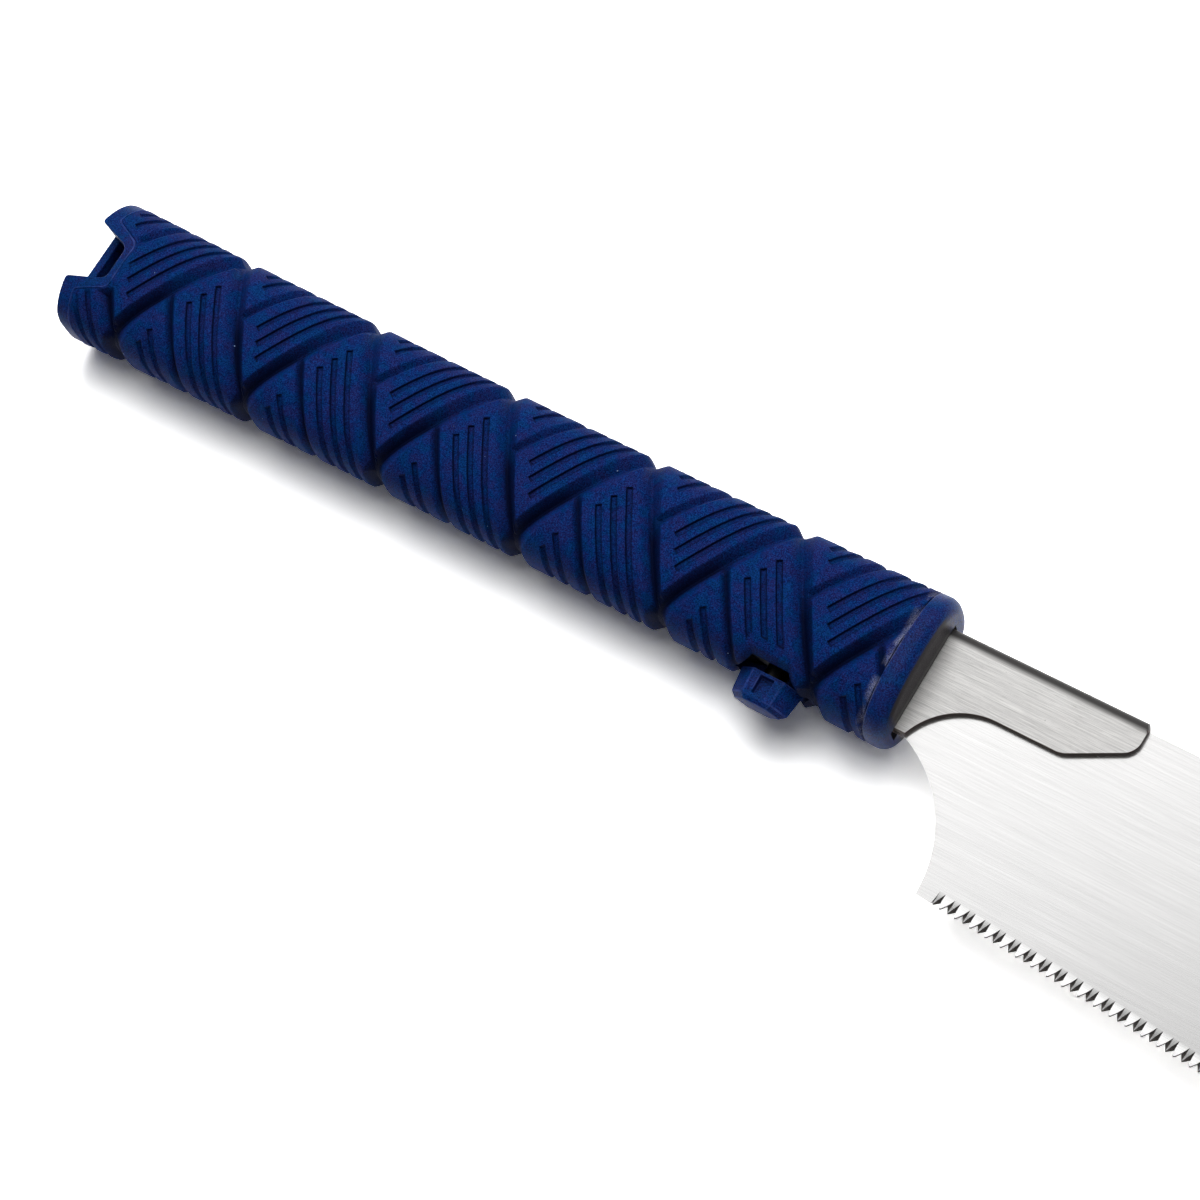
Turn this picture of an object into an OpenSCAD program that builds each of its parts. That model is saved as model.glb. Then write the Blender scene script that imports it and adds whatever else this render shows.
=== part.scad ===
// Single-edged pull saw with a removable blade and a soft plaited grip.
// Sizes are in millimetres. The saw is drawn with x along it from the front face of the handle
// towards the toe, y across it towards the blade's back, and z square to the blade, from its middle plane.
// place() then moves it so that the middle of its base is the origin.

/* [Handle] */
// Length of the handle, from the front face to the tips of the fishtail
handle_len = 216.9; // [205:0.1:235]
// Width of the handle at its ends, across the blade's plane
handle_w = 33.6; // [32.4:0.1:36]
// Width of the handle at its waist
waist_w = 31.6; // [30.6:0.1:33]
// Thickness of the handle at its ends, which narrows with the width
handle_t = 23.8; // [23.4:0.1:26]
// Squareness of the handle's section, where 2 is an ellipse
section_power = 2.5; // [2.3:0.1:3]
// Width of the rigid core
core_w = 25.4; // [24.6:0.1:26]
// Thickness of the rigid core
core_t = 16.6; // [16:0.1:17]
// Length of the plain collar in front of the soft sleeve
collar_len = 4.9; // [4.6:0.1:7]
// Rounding of the collar's front edge
collar_round = 3; // [2.4:0.1:4]
// Thickness of the collar's front wall
collar_wall = 2.4; // [2:0.1:2.8]
// Width of the seam between the sleeve and its hard neighbours
seam_gap = 0.2; // [0.1:0.05:0.3]

/* [Plait] */
// Distance along the handle after which the plait repeats
plait_pitch = 36.5; // [32:0.5:40]
// Angle of the bands to the handle's length
plait_angle = 59.2; // [55:0.1:62]
// Distance from the front face to the first crossing on the upper side of the plait
plait_start = 27.15; // [25:0.05:29]
// Width of the deep channels between bands
channel_w = 2.6; // [2:0.1:3.2]
// Width of the short channels that split off from the deep ones
split_w = 1.5; // [1:0.1:2]
// Depth of all channels
channel_depth = 1.6; // [1.2:0.1:1.8]
// Width of the slots along the bands
slot_w = 1.3; // [1:0.1:1.5]
// Depth of the slots
slot_depth = 0.5; // [0.4:0.1:0.6]
// Spacing of the slots along the handle
slot_pitch = 3.75; // [3.4:0.05:4]
// Distance along the handle from a crossing to the first slot beside it
slot_first = 5.5; // [5:0.1:6]
// Height from a deep channel to the blind end of a slot
slot_inset = 5.3; // [4.5:0.1:6]
// Length of the handle's end that has no slots
plain_end = 12.5; // [11:0.5:15]

/* [Fishtail] */
// Depth of the notch in the butt
notch_depth = 9.5; // [8.5:0.1:11]
// Width of the notch between the tips
notch_mouth = 15; // [14:0.1:17]
// Width of the notch at its floor
notch_floor = 9.2; // [8.6:0.1:10]
// Width of the hard rim along the tips
rim_tip = 3.8; // [3:0.1:4.5]
// Width of the hard rim round the notch
rim_notch = 2; // [1.6:0.1:2.4]
// Length of the cuts across the notch's inner corners, along each side
notch_corner = 1; // [0.6:0.1:1.4]
// Distance that the tips lean forward at their outer corners
tip_lean = 0.5; // [0.3:0.1:1]
// Width of the tips' outer corners, which lean further
tip_corner = 1.5; // [1:0.1:2]
// Distance that those corners lean forward at the handle's sides
corner_lean = 1.6; // [1.2:0.1:2]
// Distance from the tips to the bar that closes the notch
bar_inset = 0.2; // [0.1:0.1:0.8]
// Thickness of that bar, along the handle
bar_x = 2; // [1.6:0.1:2.2]
// Height of that bar
bar_z = 8.2; // [6:0.1:9]

/* [Blade] */
// Length of the toothed edge, with the plain stretch at each end
edge_len = 183; // [150:1:210]
// Thickness of the plate
blade_t = 0.5; // [0.4:0.05:0.7]
// Distance from the front face of the handle to the corner of the heel
heel_x = 20.2; // [18:0.1:23]
// Distance from the handle's middle line to the corner of the heel
heel_y = 39.6; // [37:0.1:40]
// Radius of the concave heel
heel_r = 29; // [28.6:0.1:32]
// Angle of the toothed edge to the back
edge_angle = 4.35; // [3:0.05:5]
// Distance from the handle's middle line to the plate's back
back_y = 10.1; // [9.9:0.1:10.3]
// Tooth spacing
tooth_pitch = 1.75; // [1.5:0.05:2.5]
// Tooth height
tooth_depth = 3; // [2:0.1:3.4]
// Plain stretch before the first tooth
heel_plain = 3; // [2:0.1:5]
// Slope of the toe, measured along the back
toe_slope = 14; // [8:0.5:20]
// Radius of the toe's corner at the back
toe_r = 6; // [4:0.5:9]
// Length of the plate inside the tang's tail
plate_tail = 52; // [50:0.5:56]
// Distance from the tail's lower edge to the plate inside it
plate_inset = 0.5; // [0.3:0.1:0.8]

/* [Tang] */
// Thickness of the folded sheet on each side of the plate
sheet_t = 1.5; // [1.2:0.05:1.6]
// Distance that the folded sheet shows in front of the handle
tang_front = 44.1; // [41:0.1:49]
// Distance from the handle's middle line to the outside of the fold
fold_y = 11.65; // [11.5:0.05:11.8]
// Distance from the handle's middle line to the shoulder's lower end
shoulder_y = 12.5; // [12:0.1:12.8]
// Distance from the front face of the handle to the start of the shoulder's curve
shoulder_x = 2.3; // [1.6:0.1:3]
// Radius of the shoulder's curve
shoulder_r = 15.75; // [15:0.05:16.5]
// Distance from the handle's middle line to the straight part of the lower edge
tang_low = 2.15; // [1.5:0.05:2.6]
// Length of the sloping end of the lower edge
ramp_len = 14; // [12:0.5:16]
// Angle of that slope
ramp_angle = 28; // [26:1:30]
// Radius at the foot of the slope
ramp_r = 5; // [4:0.5:6]
// Radius at the front of the slope
ramp_nose_r = 4; // [3:0.5:4]
// Length of the tail inside the handle
tail_len = 68; // [66:0.5:72]
// Room in the handle behind the tail
tail_room = 2; // [1:0.1:4]
// Clearance round the tang in its slot
tang_clear = 0.3; // [0.25:0.05:0.4]
// Room in the collar's slot under the shoulder
shoulder_room = 1.4; // [0.6:0.1:1.4]
// Distance from the tail's end to the cross pin
hook_back = 6.3; // [5.5:0.1:7]
// Radius of the cross pin that stops the tail
hook_r = 2; // [1.8:0.1:2.2]
// Clearance round that pin in the tail's open slot
hook_clear = 0.3; // [0.3:0.05:0.4]
// Radius of the tang's rivets
rivet_r = 1.5; // [1.2:0.1:1.7]
// Distance from the front face of the handle to the front rivet
rivet_front = 13; // [11:0.5:17]
// Distance from the front face of the handle to the rear rivet
rivet_rear = 45; // [42:0.5:47]

/* [Clamp] */
// Distance from the front face of the handle to the screw's axis
clamp_x = 27.5; // [27:0.1:28.5]
// Length of the knob
knob_len = 6.6; // [6:0.1:8]
// Width of the knob, corner to corner
knob_w = 14.8; // [14:0.1:15]
// Thickness of the knob, flat to flat
knob_t = 7.6; // [7:0.1:9]
// Length of the knob's flats along the handle
knob_flat = 7.4; // [6.5:0.1:8]
// Bevel round the knob's end
knob_bevel = 1.1; // [0.8:0.1:1.4]
// Draft of the knob's sides, as the share of its size that is left at the bevel
knob_draft = 0.9; // [0.86:0.01:0.96]
// Share of that size that is left above the bevel
knob_top = 0.8; // [0.75:0.01:0.85]
// Width of the notch in each of the knob's flats
knob_notch = 3.2; // [2.6:0.1:3.6]
// Distance from the notch to the ends of its flat
notch_end = 0.7; // [0.6:0.1:1]
// Length of the screw's stem in the knob
knob_seat = 4; // [3:0.1:4.5]
// Radius of that stem
stem_r = 1.3; // [1.1:0.1:1.4]
// Thickness of the knob between that stem and the notches
notch_wall = 0.5; // [0.4:0.1:0.8]
// Distance from the handle's middle line to the knob's inner face
knob_y = 14.7; // [14.4:0.1:15.2]
// Inside width of the six-sided pocket round the knob, flat to flat
pocket_w = 15.6; // [15.4:0.1:16]
// Radius of the screw
screw_r = 2.5; // [2.3:0.1:2.5]
// Radius of the screw's tip
tip_r = 1.5; // [1.4:0.1:1.6]
// Radial clearance of the screw in the nut, and of its tip in the shoe
run_clear = 0.05; // [0.03:0.01:0.08]
// Advance of the screw in one turn
thread_pitch = 0.8; // [0.7:0.1:1]
// Turns from tight to loose
loose_turns = 3; // [2:1:3]
// Side of the square nut
nut_w = 8; // [7.6:0.1:8.4]
// Thickness of the nut
nut_t = 2.7; // [2.4:0.1:3]
// Thickness of the core's walls beside the nut
nut_wall = 0.8; // [0.6:0.1:1]
// Clearance of the screw in the core
screw_clear = 0.4; // [0.3:0.05:0.5]
// Length of the shoe along the tail
shoe_len = 15; // [12:0.5:16]
// Thickness of the shoe along the screw
shoe_t = 4; // [3.8:0.1:4.2]
// Height of the shoe, square to the blade
shoe_z = 8.6; // [8.2:0.1:9]
// Gap between the shoe and the tail
shoe_gap = 0.1; // [0.05:0.05:0.2]
// Clearance of the shoe in its channel, and of the screw's shoulder and clip in the shoe
shoe_clear = 0.3; // [0.3:0.05:0.4]
// Depth of the screw's tip and clip below the shoe's face
tip_inset = 0.6; // [0.5:0.1:0.8]
// Radius of the clip
clip_r = 2.6; // [2.4:0.1:2.8]
// Thickness of the clip
clip_t = 0.6; // [0.5:0.1:0.8]
// Radius of the screw's neck inside the clip
clip_neck_r = 1.15; // [1:0.05:1.2]
// Opening of the clip, as a share of that radius
clip_mouth = 1.6; // [1.4:0.1:1.8]

/* [Core] */
// Radius of the shank of the screws that join the core's halves
join_r = 1.4; // [1.2:0.1:1.5]
// Radius of their heads
join_head_r = 2.6; // [2.4:0.1:2.8]
// Height of their heads
join_head = 2; // [1.8:0.1:2.2]
// Distance from the middle plane to the seat of their heads
join_seat = 3.2; // [2.6:0.1:3.4]
// Depth of their thread in the upper half
join_grip = 4; // [3.5:0.1:5]
// Distance from the handle's middle line to the screws
join_y = 7.5; // [6.5:0.1:8]
// Distance from the first and last screw to the tang's slot and the cap's tenon
join_gap = 5; // [4.5:0.1:7]
// Thickness of the core outside the ends of the cross pin
pin_wall = 1.5; // [1.2:0.1:2]
// Length of the fishtail end behind the core
butt_len = 20; // [18:0.5:22]
// Length of the cap's tenon in the core
tenon_len = 10; // [8:0.5:12]
// Width of the tenon
tenon_w = 14; // [12:0.5:15]
// Thickness of the tenon
tenon_t = 8; // [6:0.5:9]
// Distance that the core's nose in the collar is drawn in from the core's section
nose_inset = 1.6; // [1.4:0.1:1.8]

/* [Hidden] */
navy = [0.07, 0.12, 0.36];
dark_plastic = [0.1, 0.11, 0.14];
steel = [0.78, 0.78, 0.79];
dull_steel = [0.55, 0.55, 0.57];
$fn = 48;
// Room that a cut takes beyond the solid that it goes through
over = 1;
// Thickness of the slices that the handle's rounded bodies are stretched between
slice_t = 0.01;
ring_sides = 24;
loft_steps = 4;
round_steps = 9;
// Angle of one step along an arc
arc_step = 4;

slope = tan(plait_angle);
plait_top = handle_w / 2 + over;
plait_count = ceil(handle_len / plait_pitch) + 1;
front_end = -collar_len - seam_gap;

tang_t = blade_t + 2 * sheet_t;
fold_r = tang_t / 2;
slot_z = tang_t + 2 * tang_clear;
slot_end = -tail_len - tail_room;
hook_x = hook_back - tail_len;
hook_y = fold_y / 2;
travel = thread_pitch * loose_turns;
shoe_y = -shoe_gap;
shoe_channel_y = shoe_y - shoe_t - travel - shoe_clear;
nut_y = shoe_channel_y - nut_wall;
floor_y = nut_y - nut_t - nut_wall;
tip_y = shoe_y - tip_inset;
clip_y = tip_y - tip_inset;

edge_dir = [cos(edge_angle), -sin(edge_angle)];
edge_up = [sin(edge_angle), cos(edge_angle)];
heel = [heel_x, -heel_y];
toe = heel + edge_len * edge_dir;
heel_centre = [heel_x - heel_r, -heel_y];
// The heel's curve starts where it meets the lower end of the shoulder
heel_turn = asin((heel_y - shoulder_y) / heel_r);
tooth_count = floor((edge_len - 2 * heel_plain) / tooth_pitch);
// Corners of one tooth, as shares of its spacing and its height
tooth_shape = [[0, 1], [0.06, 0], [0.24, 0.04], [0.96, 1]];

core_back = butt_len - handle_len;
join_count = 4;
join_first = slot_end - join_gap;
join_last = core_back + tenon_len + join_gap;

// Size of the handle's section at a place along it, as a share of its size at the ends
function swell(x) = (waist_w + (handle_w - waist_w) * pow(1 + 2 * x / handle_len, 2)) / handle_w;
function bulge(v) = sign(v) * pow(abs(v), 2 / section_power);
function ring(w, t) = [
  for (i = [0:ring_sides - 1]) let (a = 360 * i / ring_sides) [w * bulge(cos(a)), t * bulge(sin(a))]
];
function arc(c, r, a0, a1) = let (n = ceil(abs(a1 - a0) / arc_step)) [
  for (i = [0:n]) let (a = a0 + (a1 - a0) * i / n) c + r * [cos(a), sin(a)]
];
function on_edge(along, up) = heel + along * edge_dir + up * edge_up;

// Moves the saw so that the middle of its base is the origin
module place() {
  wide = swell(-collar_round) / 2;
  translate([(handle_len - toe.x) / 2, -(wide * handle_w + toe.y) / 2, wide * handle_t]) children();
}

// Turns an outline drawn across the handle to face along it, with its depth towards the front
module along_handle(x) {
  translate([x, 0, 0]) rotate([90, 0, 90]) children();
}

// Points a shape drawn upwards out of the handle on the side of the teeth, from a height on the screw's axis
module on_screw(y) {
  translate([-clamp_x, y, 0]) rotate([90, 0, 0]) children();
}

// Takes a plan outline through the whole thickness
module through() {
  translate([0, 0, -handle_t]) linear_extrude(2 * handle_t) children();
}

// One slice of the handle, with its front face at x
module slice(x, inset) {
  outline = ring(handle_w / 2 - inset, handle_t / 2 - inset);
  along_handle(x - slice_t) linear_extrude(slice_t) scale(swell(x)) polygon(outline);
}

// The handle's rounded body between two places along it, drawn in by an inset
module body(x0, x1, inset) {
  for (i = [0:loft_steps - 1]) {
    hull() {
      slice(x0 + (x1 - x0) * i / loft_steps, inset);
      slice(x0 + (x1 - x0) * (i + 1) / loft_steps, inset);
    }
  }
}

// A straight length of the core's section
module core_bar(x0, x1, inset = 0) {
  along_handle(x0) linear_extrude(x1 - x0) polygon(ring(core_w / 2 - inset, core_t / 2 - inset));
}

// A straight strip between two points of a plan
module strip(p, q, w) {
  side = w / 2 / norm(q - p) * [p.y - q.y, q.x - p.x];
  polygon([p - side, q - side, q + side, p + side]);
}

// The channels at one crossing: a deep one right across, and a short one that splits off upwards
module crossing_channels() {
  strip([-plait_top / slope, plait_top], [plait_top / slope, -plait_top], channel_w);
  strip([0, 0], [plait_top / slope, plait_top], split_w);
}

// The slots above one crossing's deep channel, each starting at the same height above it
module crossing_slots() {
  behind = [-slot_first, -slot_first - slot_pitch];
  ahead = [slot_first, slot_first + slot_pitch, slot_first + 2 * slot_pitch];
  for (x = concat(behind, ahead)) {
    start = slot_inset - x * slope / 2;
    strip([x + start / slope, start], [x + plait_top / slope, plait_top], slot_w);
  }
}

// Repeats a crossing along the handle, and turned over half a pitch further on
module plait() {
  for (i = [0:plait_count - 1]) {
    x = -plait_start - i * plait_pitch;
    translate([x, 0]) children();
    translate([x + plait_pitch / 2, 0]) mirror([0, 1]) children();
  }
}

// Plan of the butt: the fishtail's edge, moved in by a rim at the tips and round the notch
module tail_edge(tip, notch) {
  x0 = -handle_len + tip;
  x1 = -handle_len + notch_depth + notch;
  side = plait_top + over;
  half_mouth = notch_mouth / 2 + notch;
  half_floor = notch_floor / 2 + notch;
  half = [
    [x1, half_floor - notch_corner], [x1 - notch_corner, half_floor], [x0, half_mouth],
    [x0 + tip_lean, handle_w / 2 - tip_corner], [x0 + tip_lean + corner_lean, handle_w / 2], [over, side]
  ];
  polygon(concat(half, [for (i = [len(half) - 1:-1:0]) [half[i].x, -half[i].y]]));
}

// The six-sided pocket round the knob
module knob_pocket() {
  on_screw(floor_y) cylinder(h = handle_w, d = pocket_w / cos(30), $fn = 6);
}

// The slot that the tang goes into
module tang_slot() {
  wide = shoulder_y + shoulder_room;
  translate([-collar_len, -wide, -slot_z / 2]) cube([collar_len + over, wide + fold_y + tang_clear, slot_z]);
  translate([slot_end, -tang_clear, -slot_z / 2]) cube([-slot_end, fold_y + 2 * tang_clear, slot_z]);
}

// Plan of the tang's sheet up to the straight start of the fold
module tang_plan() {
  turn = acos((shoulder_r - shoulder_y + tang_low) / shoulder_r);
  shoulder = [shoulder_x + shoulder_r * sin(turn), -tang_low - shoulder_r];
  foot = [tang_front - ramp_len, ramp_r - tang_low];
  ramp = (ramp_len - ramp_nose_r + (ramp_nose_r - ramp_r) * sin(ramp_angle)) / cos(ramp_angle);
  nose_y = foot.y + (ramp_nose_r - ramp_r) * cos(ramp_angle) + ramp * sin(ramp_angle);
  polygon(concat(
    [[-tail_len, fold_y - fold_r], [-tail_len, 0], [-collar_wall, 0], [-collar_wall, -shoulder_y]],
    arc(shoulder, shoulder_r, 90 + turn, 90),
    arc(foot, ramp_r, 270, 270 + ramp_angle),
    arc([tang_front - ramp_nose_r, nose_y], ramp_nose_r, 270 + ramp_angle, 360),
    [[tang_front, fold_y - fold_r]]
  ));
}

// Plan of the tail's open slot, round the cross pin
module hook_slot() {
  r = hook_r + hook_clear;
  translate([hook_x, hook_y]) circle(r);
  translate([-tail_len - over, hook_y - r]) square([hook_x + tail_len + over, 2 * r]);
}

// Outline of the plate: tail, heel, teeth, toe and back
module blade_plan() {
  toe_up = [toe.x - toe_slope, back_y];
  lean = atan2(toe.x - toe_up.x, back_y - toe.y);
  toe_turn = toe_up - toe_r * [tan(45 - lean / 2), 1];
  teeth = [for (i = [0:tooth_count - 1]) for (p = tooth_shape)
    on_edge(heel_plain + (i + p.x) * tooth_pitch, p.y * tooth_depth)];
  polygon(concat(
    [[-plate_tail, back_y], [-plate_tail, plate_inset]],
    [[-collar_wall, plate_inset], [-collar_wall, -shoulder_y]],
    arc(heel_centre, heel_r, heel_turn, 0),
    [on_edge(heel_plain, 0)],
    teeth,
    [on_edge(heel_plain + tooth_count * tooth_pitch, 0), toe],
    arc(toe_turn, toe_r, lean, 90)
  ));
}

// The rivets' shanks, through the whole tang
module rivets() {
  for (x = [-rivet_front, -rivet_rear]) {
    translate([x, hook_y, -tang_t / 2]) cylinder(h = tang_t, r = rivet_r);
  }
}

module saw_blade() {
  color(steel) place() difference() {
    translate([0, 0, -blade_t / 2]) linear_extrude(blade_t) blade_plan();
    rivets();
  }
}

module blade_tang() {
  color(steel) place() difference() {
    union() {
      translate([0, 0, -tang_t / 2]) linear_extrude(tang_t) tang_plan();
      translate([-tail_len, fold_y - fold_r, 0]) rotate([0, 90, 0])
        cylinder(h = tail_len + tang_front, r = fold_r);
    }
    translate([-tail_len - over, -handle_w, -blade_t / 2]) cube([2 * tail_len, handle_w + back_y, blade_t]);
    through() hook_slot();
    rivets();
  }
}

module tang_rivets() {
  color(dull_steel) place() rivets();
}

// The core's outside, with its nose in the collar
module core_outside() {
  core_bar(core_back, front_end);
  core_bar(front_end - over, -collar_wall, nose_inset);
}

// The screws that join the halves, on alternate sides of the middle line, with heads of a given height
module joins(head) {
  for (i = [0:join_count - 1]) {
    x = join_first + (join_last - join_first) * i / (join_count - 1);
    translate([x, i % 2 == 0 ? -join_y : join_y, -join_seat]) {
      cylinder(h = join_seat + join_grip, r = join_r);
      translate([0, 0, -head]) cylinder(h = head, r = join_head_r);
    }
  }
}

// The cross pin that the tail runs up to
module cross_pin() {
  pin_len = core_t - 2 * pin_wall;
  translate([hook_x, hook_y, -pin_len / 2]) cylinder(h = pin_len, r = hook_r);
}

// The square nut without its bore
module nut_block() {
  translate([-clamp_x - nut_w / 2, nut_y - nut_t, -nut_w / 2]) cube([nut_w, nut_t, nut_w]);
}

// The cap's tenon
module tenon() {
  translate([core_back - over, -tenon_w / 2, -tenon_t / 2]) cube([tenon_len + over, tenon_w, tenon_t]);
}

// All that is cut out of the core
module core_cuts() {
  shoe_x = shoe_len + 2 * shoe_clear;
  shoe_room = shoe_z + 2 * shoe_clear;
  tang_slot();
  knob_pocket();
  translate([-clamp_x - shoe_x / 2, shoe_channel_y, -shoe_room / 2])
    cube([shoe_x, -shoe_channel_y, shoe_room]);
  nut_block();
  on_screw(shoe_channel_y + over) cylinder(h = core_w / 2, r = screw_r + screw_clear);
  cross_pin();
  joins(core_t);
  tenon();
}

// One half of the core, above the blade's plane or below it
module core_half(side) {
  intersection() {
    difference() {
      core_outside();
      core_cuts();
    }
    translate([-handle_len, -handle_w, side > 0 ? 0 : -core_t]) cube([handle_len, 2 * handle_w, core_t]);
  }
}

module core_upper() {
  color(dark_plastic) place() core_half(1);
}

module core_lower() {
  color(dark_plastic) place() core_half(-1);
}

module core_screws() {
  color(dull_steel) place() joins(join_head);
}

module grip_sleeve() {
  color(navy) place() difference() {
    body(-handle_len, front_end, 0);
    difference() {
      through() plait() crossing_channels();
      body(-handle_len - over, front_end + over, channel_depth);
    }
    difference() {
      through() intersection() {
        plait() crossing_slots();
        translate([plain_end - handle_len, -plait_top]) square([handle_len, 2 * plait_top]);
      }
      body(-handle_len - over, front_end + over, slot_depth);
    }
    core_bar(-handle_len - over, over);
    knob_pocket();
    difference() {
      translate([-handle_len - over, -handle_w, -handle_t]) cube([handle_len, 2 * handle_w, 2 * handle_t]);
      through() tail_edge(rim_tip + seam_gap, rim_notch + seam_gap);
    }
  }
}

module front_collar() {
  color(navy) place() difference() {
    union() {
      hull() {
        slice(-collar_len + slice_t, 0);
        slice(-collar_round, 0);
      }
      for (i = [0:round_steps - 1]) {
        hull() {
          for (a = [90 * i / round_steps, 90 * (i + 1) / round_steps]) {
            slice(collar_round * (sin(a) - 1), collar_round * (1 - cos(a)));
          }
        }
      }
    }
    core_bar(-collar_len - over, -collar_wall, nose_inset);
    tang_slot();
  }
}

module butt_cap() {
  bar_y = notch_mouth + 2 * over;
  color(navy) place() {
    difference() {
      union() {
        difference() {
          body(-handle_len, core_back, 0);
          through() tail_edge(rim_tip, rim_notch);
        }
        core_bar(-handle_len, core_back);
        tenon();
      }
      difference() {
        translate([-handle_len - over, -handle_w, -handle_t])
          cube([butt_len + over, 2 * handle_w, 2 * handle_t]);
        through() tail_edge(0, 0);
      }
    }
    translate([bar_inset - handle_len, -bar_y / 2, -bar_z / 2]) cube([bar_x, bar_y, bar_z]);
  }
}

module hook_pin() {
  color(dull_steel) place() cross_pin();
}

module clamp_nut() {
  color(dull_steel) place() difference() {
    nut_block();
    on_screw(nut_y + over) cylinder(h = nut_t + 2 * over, r = screw_r + run_clear);
  }
}

module clamp_screw() {
  shoulder = shoe_y - shoe_t - shoe_clear;
  color(steel) place() difference() {
    union() {
      on_screw(shoulder) cylinder(h = knob_y + shoulder, r = screw_r);
      on_screw(shoulder) cylinder(h = knob_y + shoulder + knob_seat, r = stem_r);
      on_screw(tip_y) cylinder(h = tip_y - shoulder + over, r = tip_r);
    }
    on_screw(clip_y) difference() {
      cylinder(h = clip_t, r = screw_r);
      cylinder(h = clip_t, r = clip_neck_r);
    }
  }
}

// Flattened six-sided outline of the knob
module knob_outline() {
  f = knob_flat / 2;
  w = knob_w / 2;
  t = knob_t / 2;
  polygon([[f, t], [w, 0], [f, -t], [-f, -t], [-w, 0], [-f, t]]);
}

module clamp_knob() {
  straight = knob_len - knob_bevel;
  color(navy) place() on_screw(-knob_y) difference() {
    union() {
      linear_extrude(straight, scale = knob_draft) knob_outline();
      translate([0, 0, straight]) linear_extrude(knob_bevel, scale = knob_top)
        scale(knob_draft) knob_outline();
    }
    for (turn = [0, 180]) {
      rotate(turn) translate([-knob_notch / 2, stem_r + notch_wall, notch_end])
        cube([knob_notch, knob_t, straight - 2 * notch_end]);
    }
    translate([0, 0, -over]) cylinder(h = knob_seat + over, r = stem_r);
  }
}

module clamp_shoe() {
  counterbore = -clip_y + clip_t + shoe_clear;
  color(dull_steel) place() difference() {
    translate([-clamp_x - shoe_len / 2, shoe_y - shoe_t, -shoe_z / 2]) cube([shoe_len, shoe_t, shoe_z]);
    on_screw(0) cylinder(h = shoe_t + over, r = tip_r + run_clear);
    on_screw(0) cylinder(h = counterbore, r = clip_r + shoe_clear);
  }
}

module shoe_clip() {
  gap = clip_mouth * clip_neck_r;
  color(dull_steel) place() on_screw(clip_y) difference() {
    cylinder(h = clip_t, r = clip_r);
    translate([0, 0, -over]) cylinder(h = clip_t + 2 * over, r = clip_neck_r);
    translate([0, -gap / 2, -over]) cube([clip_r + over, gap, clip_t + 2 * over]);
  }
}

saw_blade();
blade_tang();
tang_rivets();
core_upper();
core_lower();
core_screws();
grip_sleeve();
front_collar();
butt_cap();
hook_pin();
clamp_nut();
clamp_screw();
clamp_knob();
clamp_shoe();
shoe_clip();
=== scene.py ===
# %% [markdown]
# # A pull saw with a plaited grip
# This lesson dresses a finished CAD model of a Japanese pull saw. The CAD solids arrive as a fixed frame:
# they already have the right size and place, and we never move them. What we add is the surface that the
# eye reads, such as the moulded plait of the grip, the set of the teeth and the brushing of the steel.

# %% Load the frame
import math

import bmesh
import bpy
import numpy as np
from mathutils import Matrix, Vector, geometry


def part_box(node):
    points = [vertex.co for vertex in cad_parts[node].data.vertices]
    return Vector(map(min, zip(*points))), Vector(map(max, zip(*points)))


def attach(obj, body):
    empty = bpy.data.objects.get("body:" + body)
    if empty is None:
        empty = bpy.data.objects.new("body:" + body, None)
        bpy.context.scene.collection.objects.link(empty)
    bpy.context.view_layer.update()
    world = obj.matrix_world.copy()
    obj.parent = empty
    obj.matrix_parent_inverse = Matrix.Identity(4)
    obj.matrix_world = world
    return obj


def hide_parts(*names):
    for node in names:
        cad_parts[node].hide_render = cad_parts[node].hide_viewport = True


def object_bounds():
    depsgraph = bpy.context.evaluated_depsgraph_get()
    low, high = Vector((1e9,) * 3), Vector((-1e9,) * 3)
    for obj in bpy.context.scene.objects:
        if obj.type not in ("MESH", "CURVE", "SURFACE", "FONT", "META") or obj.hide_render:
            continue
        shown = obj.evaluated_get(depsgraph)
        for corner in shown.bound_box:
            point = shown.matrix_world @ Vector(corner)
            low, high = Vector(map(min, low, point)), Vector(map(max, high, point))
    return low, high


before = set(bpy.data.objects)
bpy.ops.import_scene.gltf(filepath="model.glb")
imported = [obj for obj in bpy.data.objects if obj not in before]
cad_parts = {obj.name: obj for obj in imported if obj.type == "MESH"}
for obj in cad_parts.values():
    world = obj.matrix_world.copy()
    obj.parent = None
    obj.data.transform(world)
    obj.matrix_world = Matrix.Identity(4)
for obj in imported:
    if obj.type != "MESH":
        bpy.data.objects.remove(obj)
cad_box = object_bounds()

print("CAD box", [round(v, 4) for corner in cad_box for v in corner])

# %% [markdown]
# A saw is easier to think about in its own millimetres than in metres from the middle of its box. So every
# shape below is drawn from one point, the middle of the handle's front face: x runs towards the toe, y
# towards the back of the blade and z up, square to the blade. That point is read from the frame, so the
# pieces land on the CAD solids without any fitting.

# %% The saw's own millimetres
MM = 0.001


def middle(node, axis):
    low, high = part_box(node)
    return (low[axis] + high[axis]) / 2


front_face = Vector((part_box("front_collar")[1][0], middle("front_collar", 1), middle("saw_blade", 2)))


def in_frame(point):
    """A point of the saw, in the frame's metres."""
    return front_face + Vector(point) * MM


print("front face of the handle at", [round(v, 5) for v in front_face])

# %% [markdown]
# Every piece below is a list of points and a list of faces, and one helper makes a mesh object of the two.
# Blender can weld, mend and smooth a mesh by itself, so the helper leaves those jobs to it: points that
# fall on each other become one, all faces turn outwards, and the shading breaks only along edges sharper
# than an angle.

# %% From points to a piece
WELD = 0.002


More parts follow.
